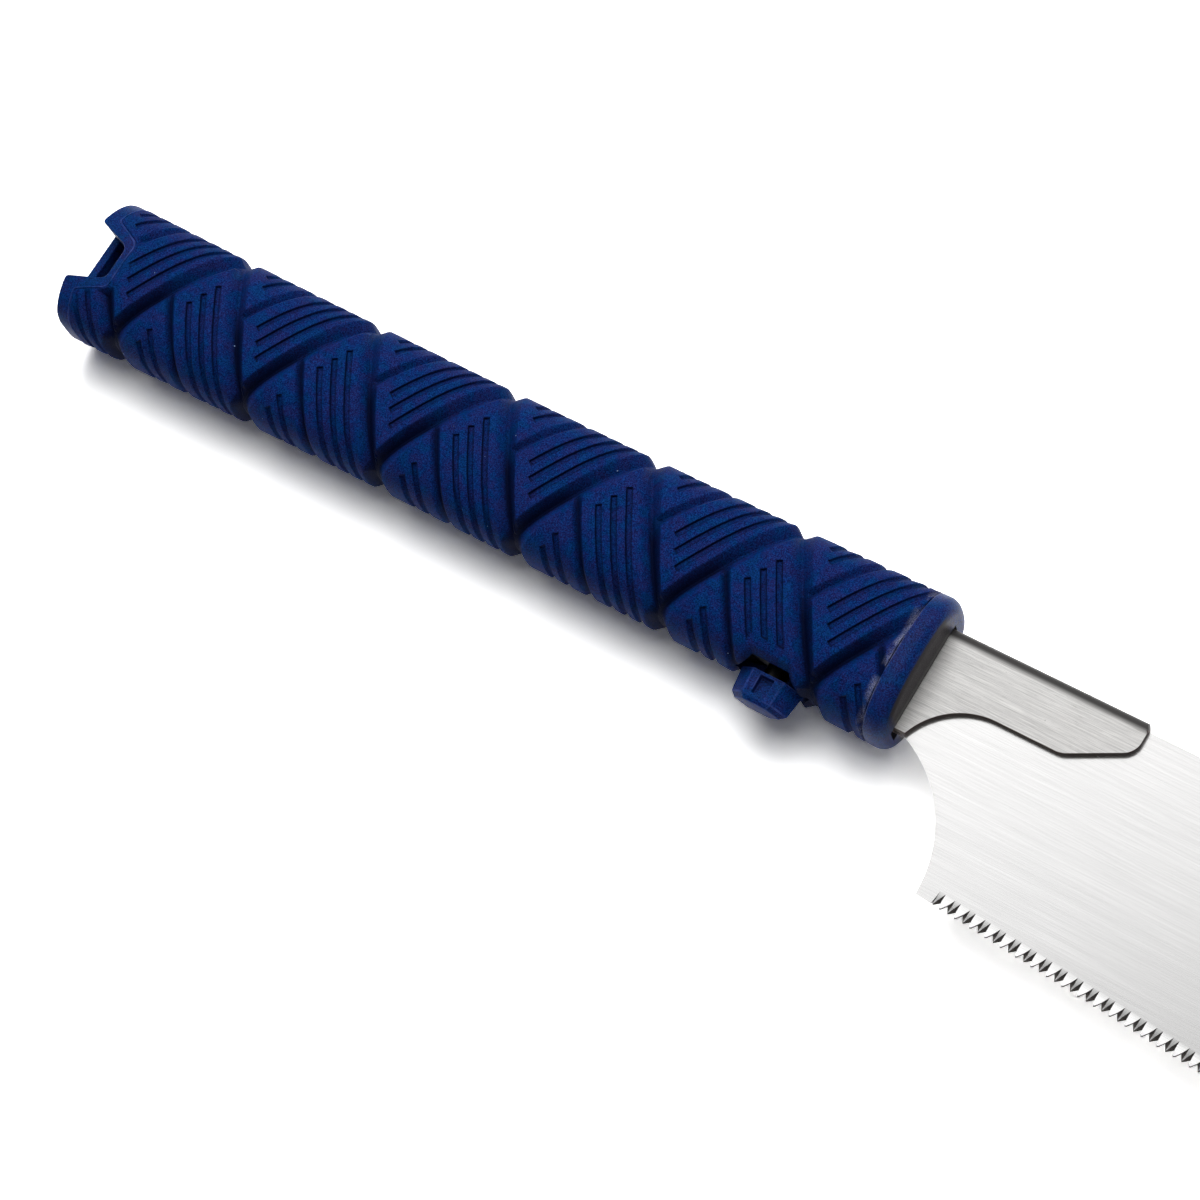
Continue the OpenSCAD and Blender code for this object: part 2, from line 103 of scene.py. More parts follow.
def tidy_mesh(piece, sharp_angle=None):
    """Welds points that coincide, turns all faces outwards and sets the shading."""
    work = bmesh.new()
    work.from_mesh(piece.data)
    bmesh.ops.remove_doubles(work, verts=work.verts, dist=WELD * MM)
    bmesh.ops.dissolve_degenerate(work, dist=WELD * MM / 4, edges=work.edges)
    bmesh.ops.recalc_face_normals(work, faces=work.faces)
    work.to_mesh(piece.data)
    work.free()
    piece.data.shade_smooth()
    if sharp_angle:
        piece.data.set_sharp_from_angle(angle=math.radians(sharp_angle))


def make_piece(name, points, faces, sharp_angle=None, second_finish=(), painted_shade=None):
    """A mesh object from points in millimetres, smooth except along edges sharper than an angle in degrees.
    Some faces may take a second finish, and points may carry painted shade."""
    mesh = bpy.data.meshes.new(name)
    mesh.from_pydata([in_frame(p) for p in points], [], [tuple(f) for f in faces])
    for number in second_finish:
        mesh.polygons[number].material_index = 1
    if painted_shade is not None:
        stored = mesh.attributes.new("painted_shade", "FLOAT", "POINT")
        stored.data.foreach_set("value", np.asarray(painted_shade, np.float32))
    mesh.validate()
    mesh.update()
    piece = bpy.data.objects.new(name, mesh)
    bpy.context.collection.objects.link(piece)
    tidy_mesh(piece, sharp_angle)
    return piece


print("points closer than", WELD, "mm are welded")

# %% [markdown]
# The camera stands where the photographer stood. Its place, its three turns and its focal length came from
# fitting known points of the saw, such as the even row of teeth and the repeat of the plait, so no shift is
# needed.

# %% Camera
CAMERA_PLACE = (170.26, -145.45, 549.99)
CAMERA_TURNS = (22.785, 13.565, 32.409)
CAMERA_LENS, CAMERA_SENSOR, CAMERA_NEAR = 89.02, 36, 0.01

camera_data = bpy.data.cameras.new("photo_camera")
camera_data.lens = CAMERA_LENS
camera_data.sensor_width = CAMERA_SENSOR
camera_data.clip_start = CAMERA_NEAR
camera = bpy.data.objects.new("photo_camera", camera_data)
camera.location = in_frame(CAMERA_PLACE)
camera.rotation_euler = [math.radians(a) for a in CAMERA_TURNS]
bpy.context.collection.objects.link(camera)
bpy.context.scene.camera = camera
bpy.context.scene.view_settings.view_transform = "Standard"
print("camera at", [round(v, 3) for v in camera.location])

# %% [markdown]
# The handle's section is a rounded oblong, drawn as a superellipse: a power of 2 would be an ellipse, and a
# higher one is squarer. The section swells a little towards both ends. We measure along its edge, so that a
# place on the handle is an x and a distance round the section. That turns the curved surface into a flat
# sheet, which is much easier to draw a plait on.

# %% The handle's section
HANDLE_LENGTH = 216.9
END_HALF_WIDTH, WAIST_HALF_WIDTH = 16.8, 15.8
END_HALF_THICKNESS = 11.9
SECTION_POWER = 2.5
RING_SAMPLES = 8001
WAIST_SHARE = WAIST_HALF_WIDTH / END_HALF_WIDTH


def swell(x):
    """The size of the section at an x, as a share of its size at the ends."""
    return WAIST_SHARE + (1 - WAIST_SHARE) * (1 + 2 * x / HANDLE_LENGTH) ** 2


def bulge(v):
    return np.sign(v) * np.abs(v) ** (2 / SECTION_POWER)


ring_angle = np.linspace(0, 2 * np.pi, RING_SAMPLES)
ring_y = END_HALF_WIDTH * bulge(np.cos(ring_angle))
ring_z = END_HALF_THICKNESS * bulge(np.sin(ring_angle))
ring_step = np.hypot(np.diff(ring_y), np.diff(ring_z))
ring_round = np.concatenate([[0], np.cumsum(ring_step)])
ROUND = ring_round[-1]
HALF_ROUND = ROUND / 2


def section_at(round_way):
    """The place across and up, and the outward direction, at a distance round the section."""
    s = np.mod(round_way, ROUND)
    y, z = np.interp(s, ring_round, ring_y), np.interp(s, ring_round, ring_z)
    ny = np.sign(y) * (np.abs(y) / END_HALF_WIDTH) ** (SECTION_POWER - 1) / END_HALF_WIDTH
    nz = np.sign(z) * (np.abs(z) / END_HALF_THICKNESS) ** (SECTION_POWER - 1) / END_HALF_THICKNESS
    size = np.hypot(ny, nz)
    return y, z, ny / size, nz / size


def on_handle(x, round_way, depth=0):
    """Points on the handle's surface, sunk by a depth."""
    x, round_way = np.broadcast_arrays(np.asarray(x, float), np.asarray(round_way, float))
    y, z, ny, nz = section_at(round_way)
    size = swell(x)
    return np.stack([x, y * size - depth * ny, z * size - depth * nz], -1)


def round_way_of(x, y, upper=True):
    """Distance round the section of a place seen in plan, on the upper or the lower side."""
    share = np.clip(np.asarray(y, float) / (END_HALF_WIDTH * swell(np.asarray(x, float))), -1, 1)
    half = len(ring_angle) // 2 + 1
    s = np.interp(-share, -ring_y[:half] / END_HALF_WIDTH, ring_round[:half])
    return s if upper else ROUND - s


print("round the section", round(ROUND, 1), "mm")

# %% [markdown]
# The plait is moulded, so the same cuts show on the upper and the lower side, and they meet at the parting
# line. It repeats every 36.5 mm. At each crossing one deep channel runs right across, a shallower one
# splits off from it on one side, and five slots lie beside that. Half a repeat further on comes the same
# set, turned over. It could be drawn cut by cut, but a rule and a loop give all of them, and each cut is
# kept as a line in plan.

# %% The lines of the plait
PLAIT_PITCH, PLAIT_START, PLAIT_REPEATS = 36.5, -27.15, range(-1, 7)
PLAIT_ANGLE = math.radians(59.2)
PLAIT_SLOPE, PLAIT_SIN, PLAIT_COS = math.tan(PLAIT_ANGLE), math.sin(PLAIT_ANGLE), math.cos(PLAIT_ANGLE)
SLOT_PLACES = (-9.25, -5.5, 5.5, 9.25, 13)
SLOT_INSET = 5.3
SIDE = 18


def plait_lines():
    """Every cut as its kind, its lean (1 leans to the toe as y grows), its x at y = 0, and the y where it
    starts and where it ends."""
    lines = []
    for k in PLAIT_REPEATS:
        for lean in (1, -1):
            x = PLAIT_START - k * PLAIT_PITCH + (0 if lean == 1 else PLAIT_PITCH / 2)
            lines.append(("deep", -lean, x, -SIDE, SIDE))
            lines.append(("split", lean, x, 0, lean * SIDE))
            for place in SLOT_PLACES:
                start = SLOT_INSET - place * PLAIT_SLOPE / 2
                lines.append(("slot", lean, x + place, lean * start, lean * SIDE))
    return lines


LINES = plait_lines()
print(len(LINES), "cuts in the plait")

# %% [markdown]
# Each kind of cut has a profile: how deep it is, and steps that hold a distance from its line, the share of
# the depth there, and how shaded the surface is on the wall that faces the light and on the wall that faces
# away. Light alone would shade the channels, but a soft studio light leaves them paler than the eye sees
# them, so part of the shade is stored with the points. It fades towards the side that the light comes from.
# On the handle's sides the slots are deeper and open, which is a second profile for them.

# %% How deep a place is cut
SLOT_HALF = 0.68
PROFILES = {
    "deep": (1.8, ((0.25, 1, 1, 1), (0.8, 0.72, 0.35, 0.95), (2.05, 0.09, 0, 0.68), (2.35, 0, 0, 0))),
    "split": (1.15, ((0.15, 1, 0.9, 0.9), (1.1, 0.1, 0, 0.45), (1.35, 0, 0, 0))),
    "slot": (0.5, ((0, 1, 0.25, 0.25), (0.5, 1, 0.5, 0.6), (0.64, 0.15, 1, 1), (0.82, 0, 0, 0))),
}
SLOT_SIDE_PROFILE = (1.0, ((0, 1, 0.6, 0.6), (0.5, 0.62, 0.35, 0.4),
                           (0.64, 0.42, 0.3, 0.35), (0.82, 0, 0, 0)))
SLOT_SIDE_FROM, SLOT_SIDE_OVER = 0.72, 0.22
SHADE_PLACES, SHADE_SHARES = (-1, -0.15, 0.25, 1), (1, 1, 0.4, 0.25)


def profile_at(profile, across, lit):
    """Depth and shade at a distance from a cut's line, on the wall that faces the light or on the other."""
    deepest, steps = profile
    distance, share, lit_shade, far_shade = zip(*steps)
    shade = np.where(lit, np.interp(across, distance, lit_shade), np.interp(across, distance, far_shade))
    return np.stack([deepest * np.interp(across, distance, share), shade])


def cuts_at(x, y, pocket_gap):
    """How deep the plait is cut at places seen in plan, and how shaded they are: the most of all the cuts
    there. Slots end where the gap to the plain rim of the pocket is used up."""
    most = np.zeros((2, len(x)))
    side = y / (END_HALF_WIDTH * swell(x))
    for kind, lean, x0, start, end in LINES:
        aside = (x - x0 - lean * y / PLAIT_SLOPE) * PLAIT_SIN
        across, lit = np.abs(aside), lean * aside > 0
        way = np.sign(end - start)
        if kind == "slot":
            from_foot = x - x0 - lean * start / PLAIT_SLOPE
            along = way * (y - start) * PLAIT_SIN + from_foot * lean * way * PLAIT_COS
            across = np.maximum(across, SLOT_HALF - np.minimum(along, pocket_gap))
        if kind == "split":
            across = np.where(way * y < 0, SIDE, across)
        cut = profile_at(PROFILES[kind], across, lit)
        if kind == "slot":
            sideways = np.clip((np.abs(side) - SLOT_SIDE_FROM) / SLOT_SIDE_OVER, 0, 1)
            cut += sideways * (profile_at(SLOT_SIDE_PROFILE, across, lit) - cut)
        else:
            cut[1] *= np.interp(side, SHADE_PLACES, SHADE_SHARES)
        most = np.maximum(most, cut)
    return most


print("depth of the cuts", {kind: profile[0] for kind, profile in PROFILES.items()})

# %% [markdown]
# The sleeve ends behind the collar in a straight seam, and at the butt in a seam that follows the fishtail:
# straight along the two tips and set back round the notch. Both edges of that fishtail, the seam and the
# outside, are the same line in plan with different margins, so one function gives both. Each corner is a
# short row of points, as offsets across and along from where the sharp corner would be.

# %% The sleeve's ends
SLEEVE_FRONT = -5.1
NOTCH_DEPTH, NOTCH_MOUTH, NOTCH_FLOOR = 9.5, 7.5, 4.6
RIM_TIP, RIM_NOTCH = 3.8, 2.0
SEAM = 0.03
TIP_LEAN = 0.5
FLOOR_CORNER = ((-1.6, 0), (-0.7, -0.3), (0, -1.0), (0.45, -2.0))
MOUTH_CORNER = ((-0.2, 0.6), (0.15, 0.12), (0.8, 0))
SIDE_CORNER = ((-1.6, 0), (-0.5, 0.5), (0, 1.4))


def tail_edge(y, tip=0.0, notch=0.0):
    """The x of the fishtail's edge at a y, moved in by a margin at the tips and round the notch."""
    back = tip - HANDLE_LENGTH
    floor = NOTCH_DEPTH + notch - HANDLE_LENGTH
    points = [(0, floor)]
    for corner, y0, x0 in ((FLOOR_CORNER, NOTCH_FLOOR + notch, floor),
                           (MOUTH_CORNER, NOTCH_MOUTH + notch, back),
                           (SIDE_CORNER, END_HALF_WIDTH, back + TIP_LEAN)):
        points += [(y0 + dy, x0 + dx) for dy, dx in corner]
    return np.interp(np.abs(y), *zip(*points))


def sleeve_rear(y):
    return tail_edge(y, RIM_TIP + SEAM, RIM_NOTCH + SEAM)


print("sleeve ends between", sleeve_rear(0.0), "and", sleeve_rear(14.0))

# %% [markdown]
# The sleeve is the piece that one looks at first, so its relief is real geometry. A fine grid would step
# along every slanted edge. Instead each cut's break lines are drawn on the flat sheet, and a constrained
# triangulation joins all points without crossing a line, so every edge of the plait is a row of mesh edges.
# Then each point is sunk by the depth there and the sheet is rolled up.

# %% A sheet of points and lines
SHEET_WELD = 1e-5


class Sheet:
    """Points and lines on the unrolled handle, ready to be triangulated."""

    def __init__(self):
        self.points, self.edges = [], []

    def line(self, xs, rounds, closed=False):
        first = len(self.points)
        self.points += list(zip(xs, rounds))
        count = len(xs)
        self.edges += [(first + i, first + i + 1) for i in range(count - 1)]
        if closed:
            self.edges.append((first + count - 1, first))

    def dots(self, xs, rounds):
        self.points += list(zip(xs, rounds))

    def triangles(self):
        flat = [Vector((float(x), float(s))) for x, s in self.points]
        out = geometry.delaunay_2d_cdt(flat, self.edges, [], 0, SHEET_WELD)
        return np.array([tuple(v) for v in out[0]]), np.array([tuple(f) for f in out[2]])


print("points of the sheet closer than", SHEET_WELD, "mm become one")

# %% [markdown]
# The knob sits in a six-sided pocket on the toothed side, with a chamfer round it and a plain rim where the
# slots stop. A boolean would tear the fine mesh of the plait. So the pocket's outline, a hexagon seen from
# the side, is carried over to the sheet, where its height becomes a distance round the section.

# %% The pocket round the knob
CLAMP_X = -27.5
POCKET_HALF, POCKET_CHAMFER, POCKET_SINK, POCKET_PLAIN = 7.5, 1.5, 0.9, 2.5
POCKET_STEP = 0.8


def hexagon(half):
    """A six-sided outline with two flats along the handle, as x from the clamp and height, in even steps."""
    corner = half / math.cos(math.pi / 6)
    corners = [(corner * math.cos(a), corner * math.sin(a)) for a in np.arange(6) * math.pi / 3]
    walk = []
    for (x0, z0), (x1, z1) in zip(corners, corners[1:] + corners[:1]):
        count = max(2, int(math.hypot(x1 - x0, z1 - z0) / POCKET_STEP))
        walk += [(x0 + (x1 - x0) * i / count, z0 + (z1 - z0) * i / count) for i in range(count)]
    return np.array(walk)


def pocket_outline(half):
    """The pocket's outline on the sheet, round the middle of the toothed side."""
    walk = hexagon(half)
    x = CLAMP_X + walk[:, 0]
    quarter = (ring_round >= ROUND / 4) & (ring_round <= HALF_ROUND)
    height = np.abs(walk[:, 1]) / swell(x)
    away = HALF_ROUND - np.interp(-height, -ring_z[quarter], ring_round[quarter])
    return x, HALF_ROUND - np.sign(walk[:, 1]) * away


def pocket_distance(x, z):
    """How far a place on the toothed side lies outside the pocket."""
    dx, dz = np.abs(x - CLAMP_X), np.abs(z)
    return np.maximum(dz, dx * math.sin(math.pi / 3) + dz / 2) - POCKET_HALF


print("pocket outline", len(pocket_outline(POCKET_HALF)[0]), "points")

# %% [markdown]
# A channel's break line runs from its start to the parting line at one distance from the channel's middle.
# A slot's goes down one side, across the blind end and up the other, so that the slot has a clean end. Both
# are stepped along the section, which puts points closer together where the handle bends round.

# %% Draw a cut on the sheet
LINE_STEP = 1.1
CUT_PAST, SLOT_PAST = 2, 6


def cut_on_sheet(sheet, lean, x0, start, end, offset, upper):
    """Draws one break line of a cut, at an offset from its middle, from its start to the parting line."""
    low_y, high_y = sorted((start, end))
    edge = END_HALF_WIDTH * swell(x0)
    s0, s1 = sorted(float(round_way_of(x0, y, upper)) for y in (max(low_y, -edge), min(high_y, edge)))
    s = np.linspace(s0, s1, max(3, int((s1 - s0) / LINE_STEP) + 1))
    y = section_at(s)[0] * swell(x0)
    x = x0 + lean * y / PLAIT_SLOPE + offset / PLAIT_SIN
    keep = (x > -HANDLE_LENGTH - CUT_PAST) & (x < -CUT_PAST)
    if keep.sum() > 1:
        sheet.line(x[keep], s[keep])


def slot_on_sheet(sheet, lean, x0, start, end, offset, upper):
    """Draws one break line round a slot: down one side, across its blind end and up the other."""
    way = np.sign(end - start)
    along = np.array([lean * way * PLAIT_COS, way * PLAIT_SIN])
    aside = np.array([along[1], -along[0]])
    foot = np.array([x0 + lean * start / PLAIT_SLOPE, start]) + (SLOT_HALF - offset) * along
    edge = END_HALF_WIDTH * swell(x0)
    sides = []
    for sign in (1, -1):
        corner = foot + sign * offset * aside
        s0, s1 = float(round_way_of(corner[0], corner[1], upper)), float(round_way_of(x0, way * edge, upper))
        s = np.linspace(s0, s1, max(2, int(abs(s1 - s0) / LINE_STEP) + 1))
        y = section_at(s)[0] * swell(x0)
        y[0] = corner[1]
        x = corner[0] + lean * (y - corner[1]) / PLAIT_SLOPE
        sides.append((x, s))
    (x, s), (x_b, s_b) = sides
    if offset:
        x, s = np.concatenate([x[::-1], x_b]), np.concatenate([s[::-1], s_b])
    if x.min() > -HANDLE_LENGTH - SLOT_PAST and x.max() < SLOT_PAST:
        sheet.line(x, s)


print("break lines are stepped by", LINE_STEP, "mm")

# %% [markdown]
# Now the sheet is filled: both seams with a narrow lip beside them, the parting line, every cut's break
# lines, the outlines round the pocket, and a loose grid of single points that keeps the triangles between
# the lines even.

# %% The sleeve's sheet
SEAM_POINTS, PARTING_POINTS = 141, 90
LIP_WIDTH, LIP_DEPTH = 0.25, 0.15
NOTCH_MARKS, NOTCH_MARK_X = (5.9, 6.6, 7.05, 9.3, 9.65, 10.3), 6 - HANDLE_LENGTH
GRID_X, GRID_ROUND, GRID_FROM = 2.4, 1.3, 3


def rear_seam():
    """The seam at the butt, with a point at each corner of the notch."""
    marks = [float(round_way_of(NOTCH_MARK_X, sign * y, upper))
             for upper in (True, False) for sign in (1, -1) for y in NOTCH_MARKS]
    s = np.unique(np.concatenate([np.linspace(0, ROUND, SEAM_POINTS), marks]))
    return sleeve_rear(section_at(s)[0]), s


def sleeve_sheet():
    sheet = Sheet()
    front_s = np.linspace(0, ROUND, SEAM_POINTS)
    for inset in (0, LIP_WIDTH):
        sheet.line(np.full(SEAM_POINTS, SLEEVE_FRONT - inset), front_s)
    rear_x, rear_s = rear_seam()
    for inset in (0, LIP_WIDTH):
        sheet.line(rear_x + inset, rear_s)
    for s in (0, ROUND):
        sheet.line(np.linspace(rear_x[0], SLEEVE_FRONT, PARTING_POINTS), np.full(PARTING_POINTS, s))
    for kind, lean, x0, start, end in LINES:
        for upper in (True, False):
            for distance in [step[0] for step in PROFILES[kind][1]]:
                if kind == "slot":
                    slot_on_sheet(sheet, lean, x0, start, end, distance, upper)
                else:
                    for offset in (distance, -distance):
                        cut_on_sheet(sheet, lean, x0, start, end, offset, upper)
    slot_ends = [POCKET_PLAIN + SLOT_HALF - step[0] for step in PROFILES["slot"][1][1:]]
    for away in [0, POCKET_CHAMFER] + slot_ends:
        sheet.line(*pocket_outline(POCKET_HALF + away), closed=True)
    grid_x = np.arange(-HANDLE_LENGTH + GRID_FROM, SLEEVE_FRONT, GRID_X)
    grid_s = np.arange(GRID_ROUND, ROUND - GRID_ROUND / 2, GRID_ROUND)
    xs, ss = np.meshgrid(grid_x, grid_s)
    sheet.dots(xs.ravel(), ss.ravel())
    return sheet


flat, triangles = sleeve_sheet().triangles()
print("sleeve sheet", len(flat), "points", len(triangles), "triangles")

# %% [markdown]
# The triangulation fills its whole convex outline, so triangles beyond the seams and inside the pocket are
# dropped by their middles. Rolled up, the sheet is only a skin. Its open edges are carried inwards to the
# rigid core, and the same outline, seen from inside, closes it to a solid that can be printed or weighed.

# %% Roll up the sleeve
CORE_HALF_WIDTH, CORE_HALF_THICKNESS = 12.7, 8.3
RIM_PLAIN, RIM_FADE = 0.5, 1.4
CHAMFER_SHADE = 0.5
SLEEVE_SHARP = 19
SAME = 1e-4


def inside_sleeve(x, s):
    y, z = section_at(s)[:2]
    kept = (x < SLEEVE_FRONT) & (x > sleeve_rear(y)) & (s > 0) & (s < ROUND)
    return kept & ~((y < 0) & (pocket_distance(x, z * swell(x)) < 0))


def sleeve_relief(x, s):
    """Depth and shade of the sleeve: the plait, the pocket's chamfered rim and a small lip at the seams."""
    y, z = section_at(s)[:2]
    size = swell(x)
    pocket_gap = np.where(y < 0, pocket_distance(x, z * size), HANDLE_LENGTH)
    from_rear = x - sleeve_rear(y)
    fade = np.clip((from_rear - RIM_PLAIN) / RIM_FADE, 0, 1)
    depth, shade = cuts_at(x, y * size, pocket_gap - POCKET_PLAIN) * fade
    chamfer = np.clip(1 - pocket_gap / POCKET_CHAMFER, 0, 1)
    lip = LIP_DEPTH * np.clip(1 - np.minimum(SLEEVE_FRONT - x, from_rear) / LIP_WIDTH, 0, 1)
    return np.maximum(depth, POCKET_SINK * chamfer) + lip, np.maximum(shade, CHAMFER_SHADE * chamfer)


def open_edges(faces, s):
    """The edges that only one triangle has, apart from the parting line, where the sheet meets itself."""
    edges = np.sort(np.concatenate([faces[:, [0, 1]], faces[:, [1, 2]], faces[:, [2, 0]]]), 1)
    pairs, times = np.unique(edges, axis=0, return_counts=True)
    rim = pairs[times == 1]
    parting = (s[rim] < SAME).all(1) | (s[rim] > ROUND - SAME).all(1)
    return rim[~parting]


def build_sleeve():
    mid = flat[triangles].mean(1)
    kept = triangles[inside_sleeve(mid[:, 0], mid[:, 1])]
    used = np.unique(kept)
    count = len(used)
    number = np.full(len(flat), -1)
    number[used] = np.arange(count)
    faces = number[kept]
    x, s = flat[used, 0], flat[used, 1]
    depth, shade = sleeve_relief(x, s)
    outer = on_handle(x, s, depth)
    y, z = section_at(s)[:2]
    inner_y, inner_z = y * CORE_HALF_WIDTH / END_HALF_WIDTH, z * CORE_HALF_THICKNESS / END_HALF_THICKNESS
    points = np.concatenate([outer, np.stack([x, inner_y, inner_z], -1)])
    walls = [(a, b, b + count, a + count) for a, b in open_edges(faces, s)]
    all_faces = [tuple(f) for f in faces] + [tuple(f[::-1] + count) for f in faces] + walls
    # Every point inside takes full painted shade.
    painted_shade = np.concatenate([shade, np.ones(count)])
    return make_piece("plaited_sleeve", points, all_faces, SLEEVE_SHARP, painted_shade=painted_shade)


sleeve = build_sleeve()
print("sleeve", len(sleeve.data.vertices), "points", len(sleeve.data.polygons), "faces")

# %% [markdown]
# Most of the other pieces are lofts: the same ring of points again and again, moved along and changed a
# little, with a skin of faces between them. Slots and notches are then cut with a boolean, and the result
# is kept as a plain mesh, because a modifier that stays live could change later.

# %% Lofts and cuts
def skin(rings, close_ends=True):
    """Points and faces of a loft through rings of the same count."""
    count = len(rings[0])
    faces = []
    for r in range(len(rings) - 1):
        for i in range(count):
            j = (i + 1) % count
            faces.append((r * count + i, r * count + j, (r + 1) * count + j, (r + 1) * count + i))
    if close_ends:
        faces.append(tuple(range(count))[::-1])
        faces.append(tuple((len(rings) - 1) * count + i for i in range(count)))
    return np.concatenate(rings), faces


def settle(piece):
    """Applies a piece's modifiers to its mesh."""
    graph = bpy.context.evaluated_depsgraph_get()
    mesh = bpy.data.meshes.new_from_object(piece.evaluated_get(graph))
    piece.modifiers.clear()
    piece.data = mesh


def cut_away(piece, cutter):
    """Takes one mesh from another and keeps the result."""
    change = piece.modifiers.new("cut", "BOOLEAN")
    change.operation, change.solver, change.object = "DIFFERENCE", "EXACT", cutter
    settle(piece)
    bpy.data.objects.remove(cutter)


def block(name, low, high):
    """A plain block between two corners."""
    (x0, y0, z0), (x1, y1, z1) = low, high
    points = [(x, y, z) for x in (x0, x1) for y in (y0, y1) for z in (z0, z1)]
    faces = [(0, 1, 3, 2), (4, 6, 7, 5), (0, 4, 5, 1), (2, 3, 7, 6), (0, 2, 6, 4), (1, 5, 7, 3)]
    return make_piece(name, points, faces)


print("helpers for lofts and cuts ready")

# %% [markdown]
# The collar is a plain ring with a well-rounded front edge and a slot for the tang. It is lofted from the
# handle's section, moved forward and drawn in along a quarter circle. The slot is cut with a boolean,
# because it runs out through the rounding on the toothed side. The slot's walls take a second finish, the
# core's nearly black plastic, which paints the shade inside the slot.

# %% The front collar
COLLAR_LENGTH, COLLAR_ROUND, COLLAR_EDGE = 4.9, 3, 0.3
COLLAR_SHARP = 40
RING_COUNT, ROUND_STEPS = 144, 15
EDGE_TURNS = np.radians((0, 30, 60, 90))
SLOT_LOW, SLOT_HIGH, SLOT_HALF_HEIGHT = -13.9, 11.95, 2.05
CUTTER_PAST, SLOT_NEAR, WALL_LEAN = 1, 0.01, 0.5


def ring_points(x, inset):
    """One closed ring of the handle's section, drawn in by an inset."""
    s = np.arange(RING_COUNT) * ROUND / RING_COUNT
    return on_handle(np.full(RING_COUNT, x), s, inset)


def build_collar():
    rings = [ring_points(-COLLAR_LENGTH + COLLAR_EDGE * (1 - math.cos(a)), COLLAR_EDGE * (1 - math.sin(a)))
             for a in EDGE_TURNS]
    for a in np.radians(np.linspace(0, 90, ROUND_STEPS)):
        rings.append(ring_points(COLLAR_ROUND * (math.sin(a) - 1), COLLAR_ROUND * (1 - math.cos(a))))
    collar = make_piece("front_collar_ring", *skin(rings), sharp_angle=COLLAR_SHARP)
    cut_away(collar, block("slot_cutter", (-COLLAR_LENGTH - CUTTER_PAST, SLOT_LOW, -SLOT_HALF_HEIGHT),
                           (CUTTER_PAST, SLOT_HIGH, SLOT_HALF_HEIGHT)))
    tidy_mesh(collar, COLLAR_SHARP)
    # Slot walls take the core's nearly black plastic: painted shade inside the slot.
    for face in collar.data.polygons:
        x, y, z = (face.center - front_face) / MM
        in_slot = SLOT_LOW - SLOT_NEAR < y < SLOT_HIGH + SLOT_NEAR and abs(z) < SLOT_HALF_HEIGHT + SLOT_NEAR
        face.material_index = int(in_slot and abs(face.normal.x) < WALL_LEAN)
    return collar


collar = build_collar()
print("collar", len(collar.data.vertices), "points")

# %% [markdown]
# The butt cap is easiest to see as a row of slices across the handle. Each slice starts at the seam on the
# upper side, runs to the fishtail's edge, turns over a rounded edge, drops straight down to the lower side
# and comes back. At the two parting lines a slice shrinks to nothing, which closes the ends. Extra slices
# stand at the corners of the notch.

# %% The fishtail cap
CAP_EDGE, CAP_EDGE_ALONG, CAP_EDGE_DOWN = 0.4, 0.45, 0.6
CAP_STEP, CAP_LIP_DEPTH, CAP_LIP_WIDTH = 0.18, 0.05, 0.2
CAP_TOP_SHARES, CAP_WALL_SHARES = (0.35, 0.7, 1.0), (0.66, 0.33, 0.0)
CAP_TURNS = np.radians((22.5, 45, 67.5, 90))
CAP_SLICES, MOULDED_SHARP = 121, 50
CAP_MARKS, CAP_MARK_X = (3.0, 3.9, 4.6, 5.05, 7.3, 7.65, 8.3, 9.5, 15.2, 16.3), 5 - HANDLE_LENGTH
# The rows of the rim take the pale second finish: wear and a painted highlight.
CAP_RIM_ROWS = (5, 6)


def cap_slice(s):
    """One slice of the cap on the upper side, from the seam to the middle of the wall at the edge."""
    y = float(section_at(s)[0])
    seam = float(tail_edge(y, RIM_TIP, RIM_NOTCH))
    edge = float(tail_edge(y))
    room = min(CAP_EDGE, (seam - edge) * CAP_EDGE_ALONG)
    top = float(on_handle(edge, s, CAP_STEP)[2])
    room_z = min(CAP_EDGE, max(top, 0) * CAP_EDGE_DOWN)
    start = seam - CAP_LIP_WIDTH
    row = [on_handle(seam, s, CAP_STEP + CAP_LIP_DEPTH), on_handle(start, s, CAP_STEP)]
    row += [on_handle(start + (edge + room - start) * t, s, CAP_STEP) for t in CAP_TOP_SHARES]
    for a in CAP_TURNS:
        point = on_handle(edge + room * (1 - math.sin(a)), s, CAP_STEP)
        point[2] -= room_z * (1 - math.cos(a))
        row.append(point)
    wall = row[-1]
    row += [np.array([wall[0], wall[1], (top - room_z) * share]) for share in CAP_WALL_SHARES]
    return row


def build_cap():
    marks = [float(round_way_of(CAP_MARK_X, sign * y)) for sign in (1, -1) for y in CAP_MARKS]
    ways = np.unique(np.round(np.concatenate([np.linspace(0, HALF_ROUND, CAP_SLICES), marks]), 4))
    points = []
    for row in (cap_slice(s) for s in ways):
        points += row + [np.array([p[0], p[1], -p[2]]) for p in row[-2::-1]]
    loop = len(points) // len(ways)
    faces, rim = [], set()
    for c in range(len(ways) - 1):
        for r in range(loop):
            a, b = c * loop + r, c * loop + (r + 1) % loop
            if min(r, loop - 2 - r) in CAP_RIM_ROWS:
                rim.add(len(faces))
            faces.append((a, b, b + loop, a + loop))
    return make_piece("fishtail_cap", points, faces, MOULDED_SHARP, second_finish=rim)


cap = build_cap()
print("cap", len(cap.data.vertices), "points")

# %% [markdown]
# A fine raised bead runs on the cap, beside the seam, right round the handle. A curve with a bevel would
# do, but its points bunch up at the corners of the notch. So the line is walked in even steps here, and a
# small ring of points stands square to it at each step.

# %% The bead on the cap
BEAD_RADIUS, BEAD_STEP = 0.24, 0.4
BEAD_SAMPLES, BEAD_TURNS = 4001, np.radians(np.arange(0, 360, 45))


